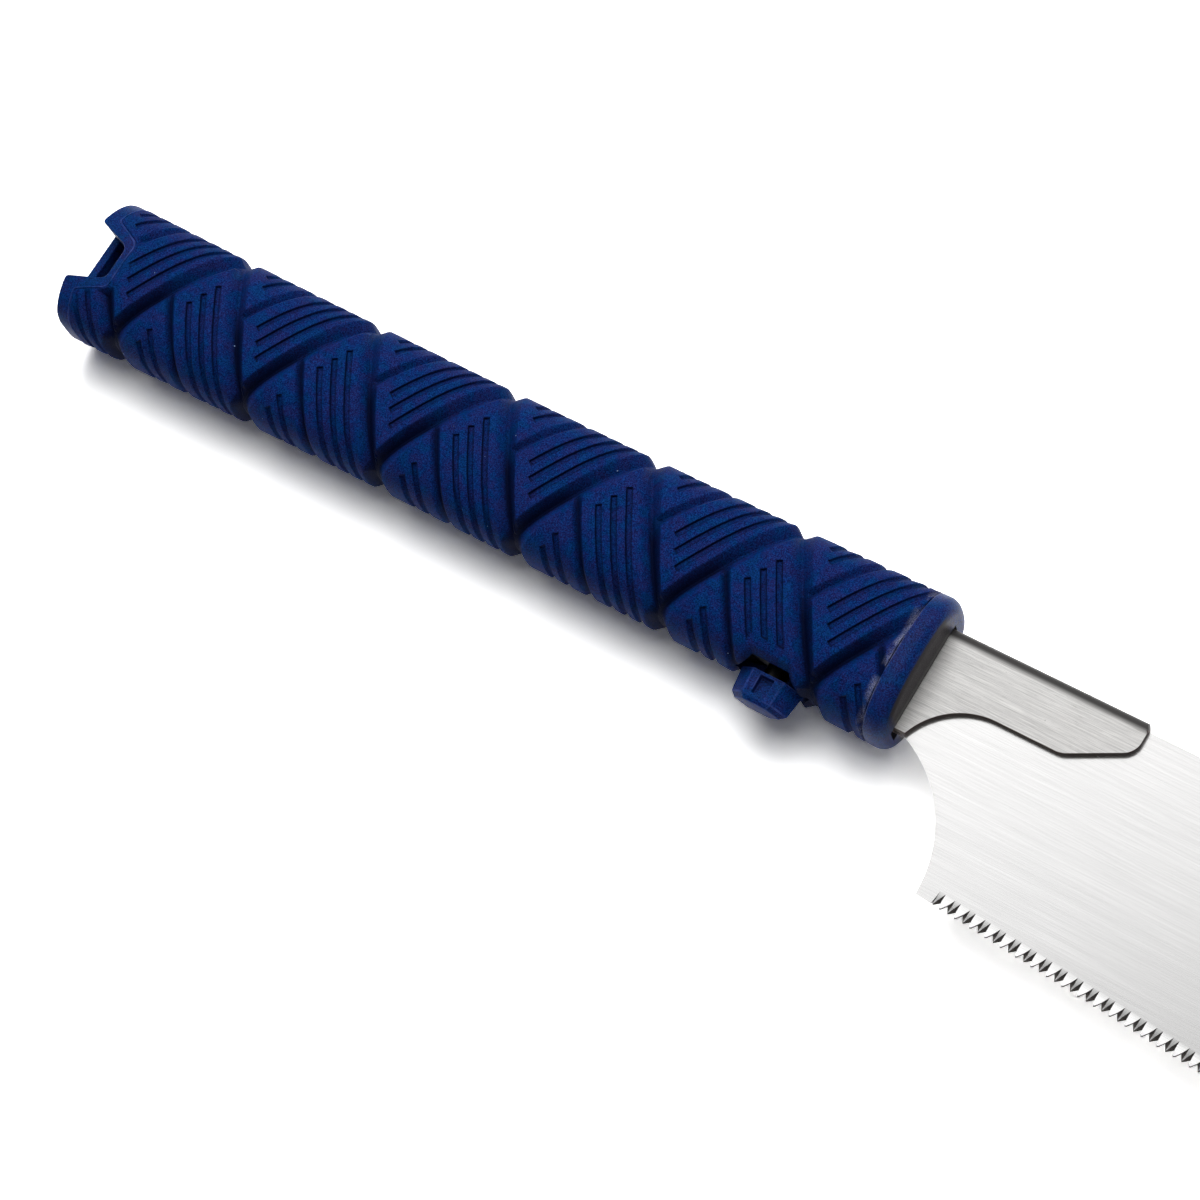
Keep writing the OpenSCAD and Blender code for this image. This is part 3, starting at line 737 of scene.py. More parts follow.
def build_bead():
    """A thin round bead on the cap, swept along a line beside the seam."""
    ways = np.linspace(0, ROUND, BEAD_SAMPLES)[:-1]
    x = tail_edge(section_at(ways)[0], RIM_TIP - BEAD_RADIUS, RIM_NOTCH - BEAD_RADIUS)
    line = on_handle(x, ways, BEAD_RADIUS)
    outside = on_handle(x, ways) - line
    steps = np.linalg.norm(np.roll(line, -1, 0) - line, axis=1)
    along = np.concatenate([[0], np.cumsum(steps)])
    picked = np.searchsorted(along, np.arange(0, along[-1] - BEAD_STEP / 2, BEAD_STEP)).clip(0, len(ways) - 1)
    line, outside = line[picked], outside[picked] / BEAD_RADIUS
    forward = np.roll(line, -1, 0) - np.roll(line, 1, 0)
    forward /= np.linalg.norm(forward, axis=1)[:, None]
    across = np.cross(outside, forward)
    rings = [p + BEAD_RADIUS * (np.outer(np.cos(BEAD_TURNS), a) + np.outer(np.sin(BEAD_TURNS), o))
             for p, a, o in zip(line, across, outside)]
    return make_piece("cap_bead", *skin(rings + rings[:1], close_ends=False))


bead = build_bead()
print("bead", len(bead.data.vertices), "points")

# %% [markdown]
# A small bar closes the notch to a hanging hole. It is a plain block with its edges rounded by a bevel, and
# its ends reach a little into the cap on both sides.

# %% The bar across the notch
BAR_INSET, BAR_LENGTH, BAR_HALF_HEIGHT, BAR_OVERLAP = 0.2, 2.0, 4.1, 0.6
BAR_ROUND, BEVEL_SEGMENTS = 0.25, 3


def build_bar():
    back, half = BAR_INSET - HANDLE_LENGTH, NOTCH_MOUTH + BAR_OVERLAP
    bar = block("notch_bar", (back, -half, -BAR_HALF_HEIGHT), (back + BAR_LENGTH, half, BAR_HALF_HEIGHT))
    soft = bar.modifiers.new("round", "BEVEL")
    soft.width, soft.segments = BAR_ROUND * MM, BEVEL_SEGMENTS
    settle(bar)
    tidy_mesh(bar, MOULDED_SHARP)
    return bar


notch_bar = build_bar()
print("bar", len(notch_bar.data.vertices), "points")

# %% [markdown]
# The knob is a flattened six-sided plug that tapers outwards, with a bevelled end and a deep notch in each
# flat for a thumbnail. It is lofted from one outline, then the notches are cut and every edge is rounded. The
# rounding takes a
# second, pale finish: partly wear, which plastic shows along its edges first, and partly a painted highlight
# on the edges.

# %% The clamp knob
KNOB_INNER, KNOB_LENGTH, KNOB_BEVEL = -14.7, 6.6, 1.1
KNOB_FLAT, KNOB_HALF_WIDTH, KNOB_HALF_HEIGHT = 3.7, 7.4, 3.8
KNOB_DRAFT, KNOB_TOP = 0.9, 0.8
KNOB_ROUND, KNOB_ROUND_FROM, KNOB_SHARP = 0.22, math.radians(20), 45
KNOB_NOTCH_WIDTH, KNOB_NOTCH_FLOOR, KNOB_NOTCH_END = 3.2, 1.8, 0.7


def knob_ring(out, share):
    """The knob's six-sided outline at a distance out from its inner face."""
    f, w, t = KNOB_FLAT * share, KNOB_HALF_WIDTH * share, KNOB_HALF_HEIGHT * share
    corners = ((f, t), (w, 0), (f, -t), (-f, -t), (-w, 0), (-f, t))
    return np.array([(CLAMP_X + x, KNOB_INNER - out, z) for x, z in corners])


def build_knob():
    straight = KNOB_LENGTH - KNOB_BEVEL
    rings = [knob_ring(0, 1), knob_ring(straight, KNOB_DRAFT), knob_ring(KNOB_LENGTH, KNOB_DRAFT * KNOB_TOP)]
    knob = make_piece("clamp_knob_cap", *skin(rings))
    half = KNOB_NOTCH_WIDTH / 2
    for sign in (1, -1):
        z0, z1 = sorted((sign * KNOB_NOTCH_FLOOR, sign * 2 * KNOB_HALF_HEIGHT))
        cut_away(knob, block("notch_cutter", (CLAMP_X - half, KNOB_INNER - straight + KNOB_NOTCH_END, z0),
                             (CLAMP_X + half, KNOB_INNER - KNOB_NOTCH_END, z1)))
    for finish in range(2):
        knob.data.materials.append(None)
    soft = knob.modifiers.new("round", "BEVEL")
    soft.width, soft.segments = KNOB_ROUND * MM, BEVEL_SEGMENTS
    soft.limit_method, soft.angle_limit = "ANGLE", KNOB_ROUND_FROM
    soft.material = 1
    settle(knob)
    tidy_mesh(knob, KNOB_SHARP)
    return knob


knob = build_knob()
print("knob", len(knob.data.vertices), "points")

# %% [markdown]
# The blade is a thin plate whose teeth are cut along one edge and then set: bent up and down by turns, so
# that the cut is wider than the plate. Each tooth has nine points, as shares of the spacing along, of the
# depth up and of the set, so that it bends over its whole length. Files have slanted its flanks. So the
# upper and the lower outline lie a little apart, in a way of their own for teeth that are bent up and for
# teeth that are bent down: four outlines. Below a tooth that is bent down the outline reaches wide, so that
# its nearly black filed faces fill the gullets as painted shade.

# %% The blade's outline
BLADE_HALF = 0.25
EDGE_LENGTH, EDGE_ANGLE = 183, math.radians(4.35)
HEEL_X, HEEL_Y, HEEL_RADIUS, SHOULDER_Y = 20.2, -39.6, 29, -12.5
TOE_SLOPE, TOE_RADIUS = 14, 6
HEEL_STEPS, TOE_STEPS = 40, 12
BACK_Y, PLATE_REAR, PLATE_LOW, COLLAR_WALL = 10.1, -52, 0.5, 2.4
TOOTH_PITCH, TOOTH_DEPTH, TOOTH_SET, HEEL_PLAIN = 1.75, 3.0, 0.26, 3.6
TOOTH_SHAPE = ((0, 1, 0), (0, 0.75, 0.05), (0, 0.5, 0.42), (0.05, 0.08, 0.95), (0.14, 0, 1),
               (0.26, 0.06, 0.95), (0.58, 0.42, 0.5), (0.77, 0.7, 0.06), (0.96, 1, 0))
FILED = {
    "up above": ((-0.14, 0), (-0.12, 0), (-0.09, 0), (-0.04, 0.02), (0, 0),
                 (0.05, 0.01), (0.11, 0), (0.14, 0), (0.16, 0)),
    "up below": ((0.13, 0), (0.04, 0), (-0.1, 0), (-0.09, -0.01), (0, -0.05),
                 (0.1, -0.03), (0.14, -0.02), (0, 0), (-0.13, 0)),
    "down above": ((0.13, 0), (0.15, 0), (0.16, 0.02), (0.09, 0.06), (0.02, 0.08),
                   (-0.05, 0.06), (-0.16, 0.02), (-0.15, 0), (-0.13, 0)),
    "down below": ((0, 0), (-0.2, 0), (-0.38, 0), (-0.22, 0.2), (0, 0),
                   (0.16, 0.08), (0.36, 0), (0.2, 0), (-0.02, 0)),
}

edge_way = np.array([math.cos(EDGE_ANGLE), -math.sin(EDGE_ANGLE)])
edge_up = np.array([math.sin(EDGE_ANGLE), math.cos(EDGE_ANGLE)])
heel = np.array([HEEL_X, HEEL_Y])
toe = heel + EDGE_LENGTH * edge_way
tooth_count = int((EDGE_LENGTH - 2 * HEEL_PLAIN) / TOOTH_PITCH)


def arc(centre, radius, start, end, count):
    """Points on an arc, with its angles in degrees."""
    return [np.array(centre) + radius * np.array([math.cos(a), math.sin(a)])
            for a in np.radians(np.linspace(start, end, count + 1))]


def on_edge(along, up):
    return heel + along * edge_way + up * edge_up


def blade_ending():
    """The outline from the last tooth round the toe to the back."""
    toe_corner = np.array([toe[0] - TOE_SLOPE, BACK_Y])
    lean = math.degrees(math.atan2(TOE_SLOPE, BACK_Y - toe[1]))
    toe_centre = toe_corner - TOE_RADIUS * np.array([math.tan(math.radians(45 - lean / 2)), 1])
    last = on_edge(HEEL_PLAIN + tooth_count * TOOTH_PITCH, 0)
    return [last, toe] + arc(toe_centre, TOE_RADIUS, lean, 90, TOE_STEPS)


def blade_outline(upper):
    """One side of the plate in x, y and height, with its teeth bent up and down by turns."""
    side = BLADE_HALF if upper else -BLADE_HALF
    heel_turn = math.degrees(math.asin((SHOULDER_Y - HEEL_Y) / HEEL_RADIUS))
    plain = [(PLATE_REAR, BACK_Y), (PLATE_REAR, PLATE_LOW)]
    plain += [(-COLLAR_WALL, PLATE_LOW), (-COLLAR_WALL, SHOULDER_Y)]
    plain += arc((HEEL_X - HEEL_RADIUS, HEEL_Y), HEEL_RADIUS, heel_turn, 0, HEEL_STEPS)
    plain.append(on_edge(HEEL_PLAIN, 0))
    outline = [(p[0], p[1], side) for p in plain]
    for i in range(tooth_count):
        bent_up = i % 2 == 1
        filed = FILED[("up " if bent_up else "down ") + ("above" if upper else "below")]
        for (along, up, bent), (file_along, file_up) in zip(TOOTH_SHAPE, filed):
            p = on_edge(HEEL_PLAIN + (i + along + file_along) * TOOTH_PITCH, (up + file_up) * TOOTH_DEPTH)
            outline.append((p[0], p[1], side + (TOOTH_SET if bent_up else -TOOTH_SET) * bent))
    return outline + [(p[0], p[1], side) for p in blade_ending()]


print("blade", tooth_count, "teeth")

# %% [markdown]
# The plate's two sides are covered by a triangulation of their outline without the teeth, each tooth has
# four faces of its own on either side, and a wall of narrow faces joins the sides all round. The wall along
# the teeth takes a second, nearly black finish, which is painted shade. Shading has to run on over a tooth,
# but it must not spread into the flat plate, where it would show as long streaks. So the plate's border is
# marked sharp.

# %% The blade
TOOTH_FACES = ((0, 1, 7, 8), (1, 2, 6, 7), (2, 3, 5, 6), (3, 4, 5))
LEVEL, BLADE_SHARP = 0.99999, 30


def part_plate(blade):
    """Marks the border of the flat plate as sharp, so that the bend of the teeth doesn't shade it."""
    work = bmesh.new()
    work.from_mesh(blade.data)
    for edge in work.edges:
        first, second = (abs(face.normal.z) > LEVEL for face in edge.link_faces)
        edge.smooth = edge.smooth and first == second
    work.to_mesh(blade.data)
    work.free()


def build_blade():
    """Both sides of the plate without its teeth, each tooth's own faces, and the walls between the sides."""
    sides = [blade_outline(True), blade_outline(False)]
    count, per_tooth = len(sides[0]), len(TOOTH_SHAPE)
    first_tooth = count - len(blade_ending()) - per_tooth * tooth_count
    teeth = [[first_tooth + per_tooth * i + k for k in range(per_tooth)] for i in range(tooth_count)]
    tips = {i for tooth in teeth for i in tooth[1:-1]}
    plate = [i for i in range(count) if i not in tips]
    faces = []
    for start, outline in zip((0, count), sides):
        corners = [Vector(outline[i][:2]) for i in plate]
        cover = geometry.delaunay_2d_cdt(corners, [], [list(range(len(corners)))], 1, SAME)
        faces += [tuple(start + plate[cover[3][i][0]] for i in t) for t in cover[2]]
        faces += [tuple(start + tooth[i] for i in face) for tooth in teeth for face in TOOTH_FACES]
    walls_from = len(faces)
    faces += [(i, (i + 1) % count, count + (i + 1) % count, count + i) for i in range(count)]
    filed = {walls_from + i for i in range(first_tooth - 1, first_tooth + per_tooth * tooth_count)}
    blade = make_piece("set_blade", sides[0] + sides[1], faces, BLADE_SHARP, second_finish=filed)
    part_plate(blade)
    return blade


blade = build_blade()
print("blade", len(blade.data.vertices), "points")

# %% [markdown]
# The tang is one sheet folded over the plate's back, so its upper edge is a half round and its lower edge a
# cut edge. It is drawn as slices across: over the fold, down the upper side, round the cut edge and back
# below. The lower edge runs from the tail inside the handle over the shoulder to the nose in front.

# %% The tang's slices
TANG_HALF, TANG_FRONT, TANG_LOW, FOLD_Y = 1.75, 44.1, -2.15, 11.65
SHOULDER_X, SHOULDER_RADIUS = 2.3, 15.75
RAMP_LENGTH, RAMP_ANGLE, RAMP_RADIUS = 14, 28, 5
NOSE_RADIUS, NOSE_END, NOSE_CHAMFER_X, NOSE_CHAMFER_Y = 4, 358, 0.6, 1.05
SHOULDER_STEPS, RAMP_STEPS, NOSE_STEPS, FOLD_STEPS = 24, 6, 12, 8
SHEET_EDGE, BESIDE_ROUND = 0.18, 0.1
TAIL_LENGTH, TAIL_STEP = 68, 0.03


def tang_lower_edge():
    """The lower edge of the tang in plan, from the tail to the nose."""
    turn = math.degrees(math.acos((SHOULDER_RADIUS + SHOULDER_Y - TANG_LOW) / SHOULDER_RADIUS))
    shoulder = (SHOULDER_X + SHOULDER_RADIUS * math.sin(math.radians(turn)), TANG_LOW - SHOULDER_RADIUS)
    foot = (TANG_FRONT - RAMP_LENGTH, TANG_LOW + RAMP_RADIUS)
    slope = math.radians(RAMP_ANGLE)
    ramp = (RAMP_LENGTH - NOSE_RADIUS + (NOSE_RADIUS - RAMP_RADIUS) * math.sin(slope)) / math.cos(slope)
    nose_y = foot[1] + (NOSE_RADIUS - RAMP_RADIUS) * math.cos(slope) + ramp * math.sin(slope)
    tail = ((-TAIL_LENGTH, 0), (-COLLAR_WALL - TAIL_STEP, 0), (-COLLAR_WALL, SHOULDER_Y))
    line = [np.array(p) for p in tail]
    line += arc(shoulder, SHOULDER_RADIUS, 90 + turn, 90, SHOULDER_STEPS)
    line += arc(foot, RAMP_RADIUS, 270, 270 + RAMP_ANGLE, RAMP_STEPS)
    line += arc((TANG_FRONT - NOSE_RADIUS, nose_y), NOSE_RADIUS, 270 + RAMP_ANGLE, NOSE_END, NOSE_STEPS)
    return np.array(line)


def tang_slice(x, low):
    """One slice of the tang: round the fold, down the upper side to the cut edge and back below."""
    fold = FOLD_Y - NOSE_CHAMFER_Y * max(0, x - TANG_FRONT + NOSE_CHAMFER_X) / NOSE_CHAMFER_X
    centre = fold - TANG_HALF
    turns = np.radians(np.linspace(0, 90, FOLD_STEPS))
    side = [(centre + TANG_HALF * math.cos(a), TANG_HALF * math.sin(a)) for a in turns]
    level = (centre - BESIDE_ROUND, (centre + low) / 2, low + SHEET_EDGE + BESIDE_ROUND)
    side += [(y, TANG_HALF) for y in level]
    side += [(low + SHEET_EDGE * (1 - math.sin(a)), TANG_HALF - SHEET_EDGE * (1 - math.cos(a)))
             for a in EDGE_TURNS]
    lower = [(y, -z) for y, z in side[:0:-1]]
    return [(x, y, z) for y, z in side + lower]


print("tang", len(tang_lower_edge()), "slices")

# %% [markdown]
# The slices are lofted. The tail's open slot for the cross pin and the two rivet holes only show when the
# blade is drawn out, and they are cut with booleans. The lower cut edge takes a second, nearly black finish,
# found by the lean of its faces, which paints the shade along that edge.

# %% The folded tang
HOOK_BACK, HOOK_HALF, HOOK_STEPS = 6.3, 2.3, 16
RIVET_PLACES, RIVET_RADIUS, RIVET_STEPS = (-13, -45), 1.52, 24
EDGE_LEAN, TANG_SHARP = 0.97, 50


def prism(name, outline, half_height):
    """An upright block on an outline in plan, for cutting."""
    rings = [np.array([(x, y, z) for x, y in outline]) for z in (-half_height, half_height)]
    return make_piece(name, *skin(rings))


def build_tang():
    rings = [np.array(tang_slice(x, y)) for x, y in tang_lower_edge()]
    end = rings[-1].copy()
    end[:, 0] = TANG_FRONT
    tang = make_piece("folded_tang", *skin(rings + [end]))
    hook = (HOOK_BACK - TAIL_LENGTH, FOLD_Y / 2)
    behind = 2 * hook[0]
    slot = [(behind, hook[1] - HOOK_HALF)] + arc(hook, HOOK_HALF, -90, 90, HOOK_STEPS)
    slot.append((behind, hook[1] + HOOK_HALF))
    last_turn = 360 - 360 / RIVET_STEPS
    holes = [arc((x, hook[1]), RIVET_RADIUS, 0, last_turn, RIVET_STEPS - 1) for x in RIVET_PLACES]
    for outline in [slot] + holes:
        cut_away(tang, prism("tang_cutter", outline, 2 * TANG_HALF))
    tidy_mesh(tang, TANG_SHARP)
    for face in tang.data.polygons:
        cut_edge = abs(face.normal.z) < EDGE_LEAN and face.center.y < in_frame((0, FOLD_Y - TANG_HALF, 0)).y
        face.material_index = int(cut_edge)
    return tang


tang = build_tang()
print("tang", len(tang.data.vertices), "points")

# %% [markdown]
# Now the finishes. They are made of nodes, which could be wired by hand in the shader editor. In a script,
# a few helpers keep the wiring short: one adds a node with its settings, one feeds a socket from a value or
# another node, and the rest are the handful of nodes that every finish here uses.

# %% Node helpers
def add(tree, kind, **values):
    """A node with its settings, and its inputs by name."""
    made = tree.nodes.new(kind)
    for key, value in values.items():
        if key in made.inputs:
            made.inputs[key].default_value = value
        else:
            setattr(made, key, value)
    return made


def feed(tree, socket, value):
    """Gives a socket a value, or the output of another node."""
    if isinstance(value, bpy.types.NodeSocket):
        tree.links.new(value, socket)
    else:
        socket.default_value = value


def maths(tree, operation, *values):
    made = add(tree, "ShaderNodeMath", operation=operation)
    for socket, value in zip(made.inputs, values):
        feed(tree, socket, value)
    return made.outputs[0]


def ramp(tree, value, low, high, to_low=0.0, to_high=1.0, smooth=False):
    """Carries a range of values over to another."""
    made = add(tree, "ShaderNodeMapRange", interpolation_type="SMOOTHSTEP" if smooth else "LINEAR")
    for socket, number in zip(made.inputs[:5], (value, low, high, to_low, to_high)):
        feed(tree, socket, number)
    return made.outputs[0]


def mix_colour(tree, factor, low, high):
    """A colour between two, by a factor."""
    mix = add(tree, "ShaderNodeMix", data_type="RGBA")
    for socket, value in ((mix.inputs["Factor"], factor), (mix.inputs[6], low), (mix.inputs[7], high)):
        feed(tree, socket, value)
    return mix.outputs[2]


def place_along(tree, axis):
    """One of the object coordinates, X, Y or Z."""
    split = add(tree, "ShaderNodeSeparateXYZ")
    tree.links.new(add(tree, "ShaderNodeTexCoord").outputs["Object"], split.inputs[0])
    return split.outputs[axis]


def scaled(tree, place, scale):
    """A place times a number."""
    times = add(tree, "ShaderNodeVectorMath", operation="SCALE")
    tree.links.new(place, times.inputs[0])
    feed(tree, times.inputs["Scale"], scale)
    return times.outputs["Vector"]


def scaled_place(tree, scale):
    """Object coordinates times a number."""
    return scaled(tree, add(tree, "ShaderNodeTexCoord").outputs["Object"], scale)


def noise(tree, place, detail, roughness=0.6):
    made = add(tree, "ShaderNodeTexNoise", Detail=detail, Roughness=roughness, Scale=1.0)
    tree.links.new(place, made.inputs["Vector"])
    return made.outputs["Fac"]


print("node helpers ready")

# %% [markdown]
# Effects that several finishes share are node groups, built once and placed in each finish with its own
# values. The first group is for moulded parts: broad blotches where the surface has been handled, and a
# fine grain.

# %% The moulded surface
def new_group(name, inputs, outputs):
    """A shader node group with number inputs and named outputs."""
    tree = bpy.data.node_groups.new(name, "ShaderNodeTree")
    for label, value in inputs:
        socket = tree.interface.new_socket(name=label, in_out="INPUT", socket_type="NodeSocketFloat")
        socket.default_value = value
    for label in outputs:
        tree.interface.new_socket(name=label, in_out="OUTPUT", socket_type="NodeSocketFloat")
    return tree, tree.nodes.new("NodeGroupInput").outputs, tree.nodes.new("NodeGroupOutput").inputs


def make_mottle():
    inputs = (("Blotch scale", 280.0), ("Grain scale", 4000.0))
    tree, given, out = new_group("handled_mottle", inputs, ("Blotch", "Grain"))
    tree.links.new(noise(tree, scaled_place(tree, given["Blotch scale"]), 4.0), out["Blotch"])
    tree.links.new(noise(tree, scaled_place(tree, given["Grain scale"]), 2.0, 0.7), out["Grain"])
    return tree


MOTTLE = make_mottle()
print("group", MOTTLE.name)

# %% [markdown]
# A used tool carries dust. A cell pattern puts one possible speck in each cell, and a second value of the
# same cell decides whether it is there, so the specks are few and lie at random places that stay the same
# in every render.

# %% Dust
def make_dust():
    inputs = (("Speck scale", 300.0), ("Speck size", 0.05), ("Bare share", 0.8))
    tree, given, out = new_group("dust_specks", inputs, ("Speck",))
    cells = add(tree, "ShaderNodeTexVoronoi", feature="F1", Scale=1.0, Randomness=1.0)
    tree.links.new(scaled_place(tree, given["Speck scale"]), cells.inputs["Vector"])
    near = maths(tree, "LESS_THAN", cells.outputs["Distance"], given["Speck size"])
    split = add(tree, "ShaderNodeSeparateColor")
    tree.links.new(cells.outputs["Color"], split.inputs[0])
    few = maths(tree, "GREATER_THAN", split.outputs[0], given["Bare share"])
    tree.links.new(maths(tree, "MULTIPLY", near, few), out["Speck"])
    return tree


DUST = make_dust()
print("group", DUST.name)

# %% [markdown]
# Where the sleeve meets the collar the rubber is rubbed pale, in patches of fine specks that thin out away
# from the seam. The group measures the distance from the seam along the saw and breaks the strip up with
# two noises.

# %% Scuffs at the seam
PATCH_SCALE, PATCH_FROM, PATCH_TO = 190.0, 0.4, 0.56
RUB_SCALE, RUB_FROM, RUB_TO = 8000.0, 0.42, 0.58


def make_scuff():
    tree, given, out = new_group("seam_scuff", (("Seam", 0.0), ("Width", 0.0016)), ("Scuff",))
    away = maths(tree, "ABSOLUTE", maths(tree, "SUBTRACT", place_along(tree, "X"), given["Seam"]))
    near = maths(tree, "SUBTRACT", 1.0, maths(tree, "DIVIDE", away, given["Width"]))
    near = maths(tree, "MAXIMUM", near, 0.0)
    patches = ramp(tree, noise(tree, scaled_place(tree, PATCH_SCALE), 2.0), PATCH_FROM, PATCH_TO)
    specks = ramp(tree, noise(tree, scaled_place(tree, RUB_SCALE), 1.0, 0.5), RUB_FROM, RUB_TO)
    paling = maths(tree, "MULTIPLY", maths(tree, "MULTIPLY", near, patches), specks)
    tree.links.new(paling, out["Scuff"])
    return tree


SCUFF = make_scuff()
print("group", SCUFF.name)

# %% [markdown]
# The steel is brushed along the saw. The noise that makes the lines is squeezed across and stretched along,
# and a second, broader one gives the slow changes of tone between passes of the brush.

# %% Brushing
BRUSH_LAYERS = (("Line", 1.0, 4.0), ("Pass", 0.16, 2.0))
BRUSH_ROUGHNESS = 0.65


def make_brushing():
    inputs = (("Fineness", 5200.0), ("Stretch", 0.012))
    tree, given, out = new_group("lengthwise_brushing", inputs, [layer[0] for layer in BRUSH_LAYERS])
    drawn_out = add(tree, "ShaderNodeCombineXYZ")
    feed(tree, drawn_out.inputs["X"], maths(tree, "MULTIPLY", place_along(tree, "X"), given["Stretch"]))
    for axis in "YZ":
        feed(tree, drawn_out.inputs[axis], place_along(tree, axis))
    for label, share, detail in BRUSH_LAYERS:
        place = scaled(tree, drawn_out.outputs[0], maths(tree, "MULTIPLY", given["Fineness"], share))
        tree.links.new(noise(tree, place, detail, BRUSH_ROUGHNESS), out[label])
    return tree


BRUSHING = make_brushing()
print("group", BRUSHING.name)

# %% [markdown]
# The collar's front face doesn't look blue. Seen at a grazing angle it shows a dark grey sheen, a little
# paler close to the slot, and that sheen is painted into the colour here. A second material would end at a
# mesh edge, but this patch has a soft border, so it is mixed in by its place.

# %% The front face's painted sheen
FACE_SHEEN_GREY, SLOT_SHEEN_GREY = (0.05, 0.045, 0.05, 1), (0.1, 0.098, 0.096, 1)
FACE_FROM, FACE_TO = -0.5, -0.25
SLOT_GREY_TO, FACE_GREY_FROM = 3.3, 4.0
FACE_MIDDLE_Y, FACE_HALF, FACE_END = -1, 10.5, 13


def new_finish(name):
    finish = bpy.data.materials.new(name)
    finish.use_nodes = True
    return finish, finish.node_tree, finish.node_tree.nodes["Principled BSDF"]


def off_middle(tree, axis, middle_place):
    """How far a place lies from a middle along one axis, either way."""
    return maths(tree, "ABSOLUTE", maths(tree, "SUBTRACT", place_along(tree, axis), middle_place))


def paint_front_sheen(tree, colour):
    """The colour with the painted grey sheen of the front face over it."""
    forward = ramp(tree, place_along(tree, "X"), front_face.x + FACE_FROM * MM, front_face.x + FACE_TO * MM)
    height = off_middle(tree, "Z", front_face.z)
    grazing_sheen = mix_colour(tree, ramp(tree, height, SLOT_GREY_TO * MM, FACE_GREY_FROM * MM), SLOT_SHEEN_GREY, FACE_SHEEN_GREY)
    across = off_middle(tree, "Y", front_face.y + FACE_MIDDLE_Y * MM)
    beside = ramp(tree, across, FACE_END * MM, FACE_HALF * MM)
    return mix_colour(tree, maths(tree, "MULTIPLY", forward, beside), colour, grazing_sheen)


print("front face is grey for", FACE_HALF, "mm to each side")

# %% [markdown]
# The grip's rubber is a deep navy. Seen close it isn't even: some areas lean to violet and some to a greener
# blue, and the grain is dark and light by turns. Painted shade, stored with the plait's points, darkens the
# channels, and dust and scuffs lie over all. Its shine is weak, because soft rubber scatters light. The
# plastic parts are the same navy, smoother; their pale second finish adds blotches of wear and a painted
# highlight.

# %% Rubber and plastic
NAVY, NAVY_PAINTED_SHADE = (0.001, 0.021, 0.136, 1), (0.0007, 0.002, 0.014, 1)
NAVY_VIOLET, NAVY_GREEN = (0.015, 0.0155, 0.108, 1), (0.0003, 0.034, 0.148, 1)
NAVY_DARK, NAVY_LIGHT = (0.0006, 0.0065, 0.045, 1), (0.006, 0.05, 0.25, 1)
DUST_PALE, SCUFF_PALE, WEAR_AND_HIGHLIGHT_PALE = (0.16, 0.24, 0.42, 1), (0.3, 0.31, 0.44, 1), (0.06, 0.1, 0.36, 1)
NAVY_TONES = (("Blotch", 0.44, 0.62, NAVY_VIOLET), ("Blotch", 0.48, 0.38, NAVY_GREEN),
              ("Grain", 0.5, 0.36, NAVY_DARK), ("Grain", 0.5, 0.65, NAVY_LIGHT))
DEEPEST_SHADE = 0.94
WEAR_AND_HIGHLIGHT_FROM, WEAR_AND_HIGHLIGHT_TO = 0.35, 0.65
ROUGH_FROM, ROUGH_TO, ROUGH_SPREAD = 0.2, 0.8, 0.1


def group_in(tree, group, **values):
    """Places a group with its own values, and gives its outputs."""
    made = tree.nodes.new("ShaderNodeGroup")
    made.node_tree = group
    for key, value in values.items():
        made.inputs[key.replace("_", " ")].default_value = value
    return made.outputs


def bump(tree, shader, height, distance):
    made = add(tree, "ShaderNodeBump", Distance=distance, Strength=1.0)
    tree.links.new(height, made.inputs["Height"])
    tree.links.new(made.outputs[0], shader.inputs["Normal"])


def navy_finish(name, roughness, grain, bare_share, scuff_width, shine=0.06, painted_front_sheen=False, paling=0.0):
    """Navy rubber or plastic, with the height of its grain and the width of its scuffs in metres."""
    finish, tree, shader = new_finish(name)
    mottle = group_in(tree, MOTTLE)
    colour = NAVY
    for pattern, low, high, tone in NAVY_TONES:
        colour = mix_colour(tree, ramp(tree, mottle[pattern], low, high), colour, tone)
    # Painted shade: the shade stored with the points mixes the colour towards a deep navy.
    painted_shade = add(tree, "ShaderNodeAttribute", attribute_name="painted_shade").outputs["Fac"]
    colour = mix_colour(tree, ramp(tree, painted_shade, 0.0, 1.0, 0.0, DEEPEST_SHADE), colour, NAVY_PAINTED_SHADE)
    # Pale blotches on the second finish of cap, bead and knob: wear, and a painted highlight along the edges.
    if paling:
        wear_and_highlight = ramp(tree, mottle["Blotch"], WEAR_AND_HIGHLIGHT_FROM, WEAR_AND_HIGHLIGHT_TO, 0.0, paling)
        colour = mix_colour(tree, wear_and_highlight, colour, WEAR_AND_HIGHLIGHT_PALE)
    specks = group_in(tree, DUST, Bare_share=bare_share)
    colour = mix_colour(tree, specks["Speck"], colour, DUST_PALE)
    scuffs = group_in(tree, SCUFF, Seam=front_face.x + SLEEVE_FRONT * MM, Width=scuff_width)
    colour = mix_colour(tree, scuffs["Scuff"], colour, SCUFF_PALE)
    # Painted sheen on the collar's front face, paler beside the slot.
    if painted_front_sheen:
        colour = paint_front_sheen(tree, colour)
    tree.links.new(colour, shader.inputs["Base Color"])
    smoothest, roughest = roughness - ROUGH_SPREAD, roughness + ROUGH_SPREAD
    rough = ramp(tree, mottle["Grain"], ROUGH_FROM, ROUGH_TO, smoothest, roughest)
    tree.links.new(rough, shader.inputs["Roughness"])
    shader.inputs["Specular IOR Level"].default_value = shine
    bump(tree, shader, mottle["Grain"], grain)
    return finish


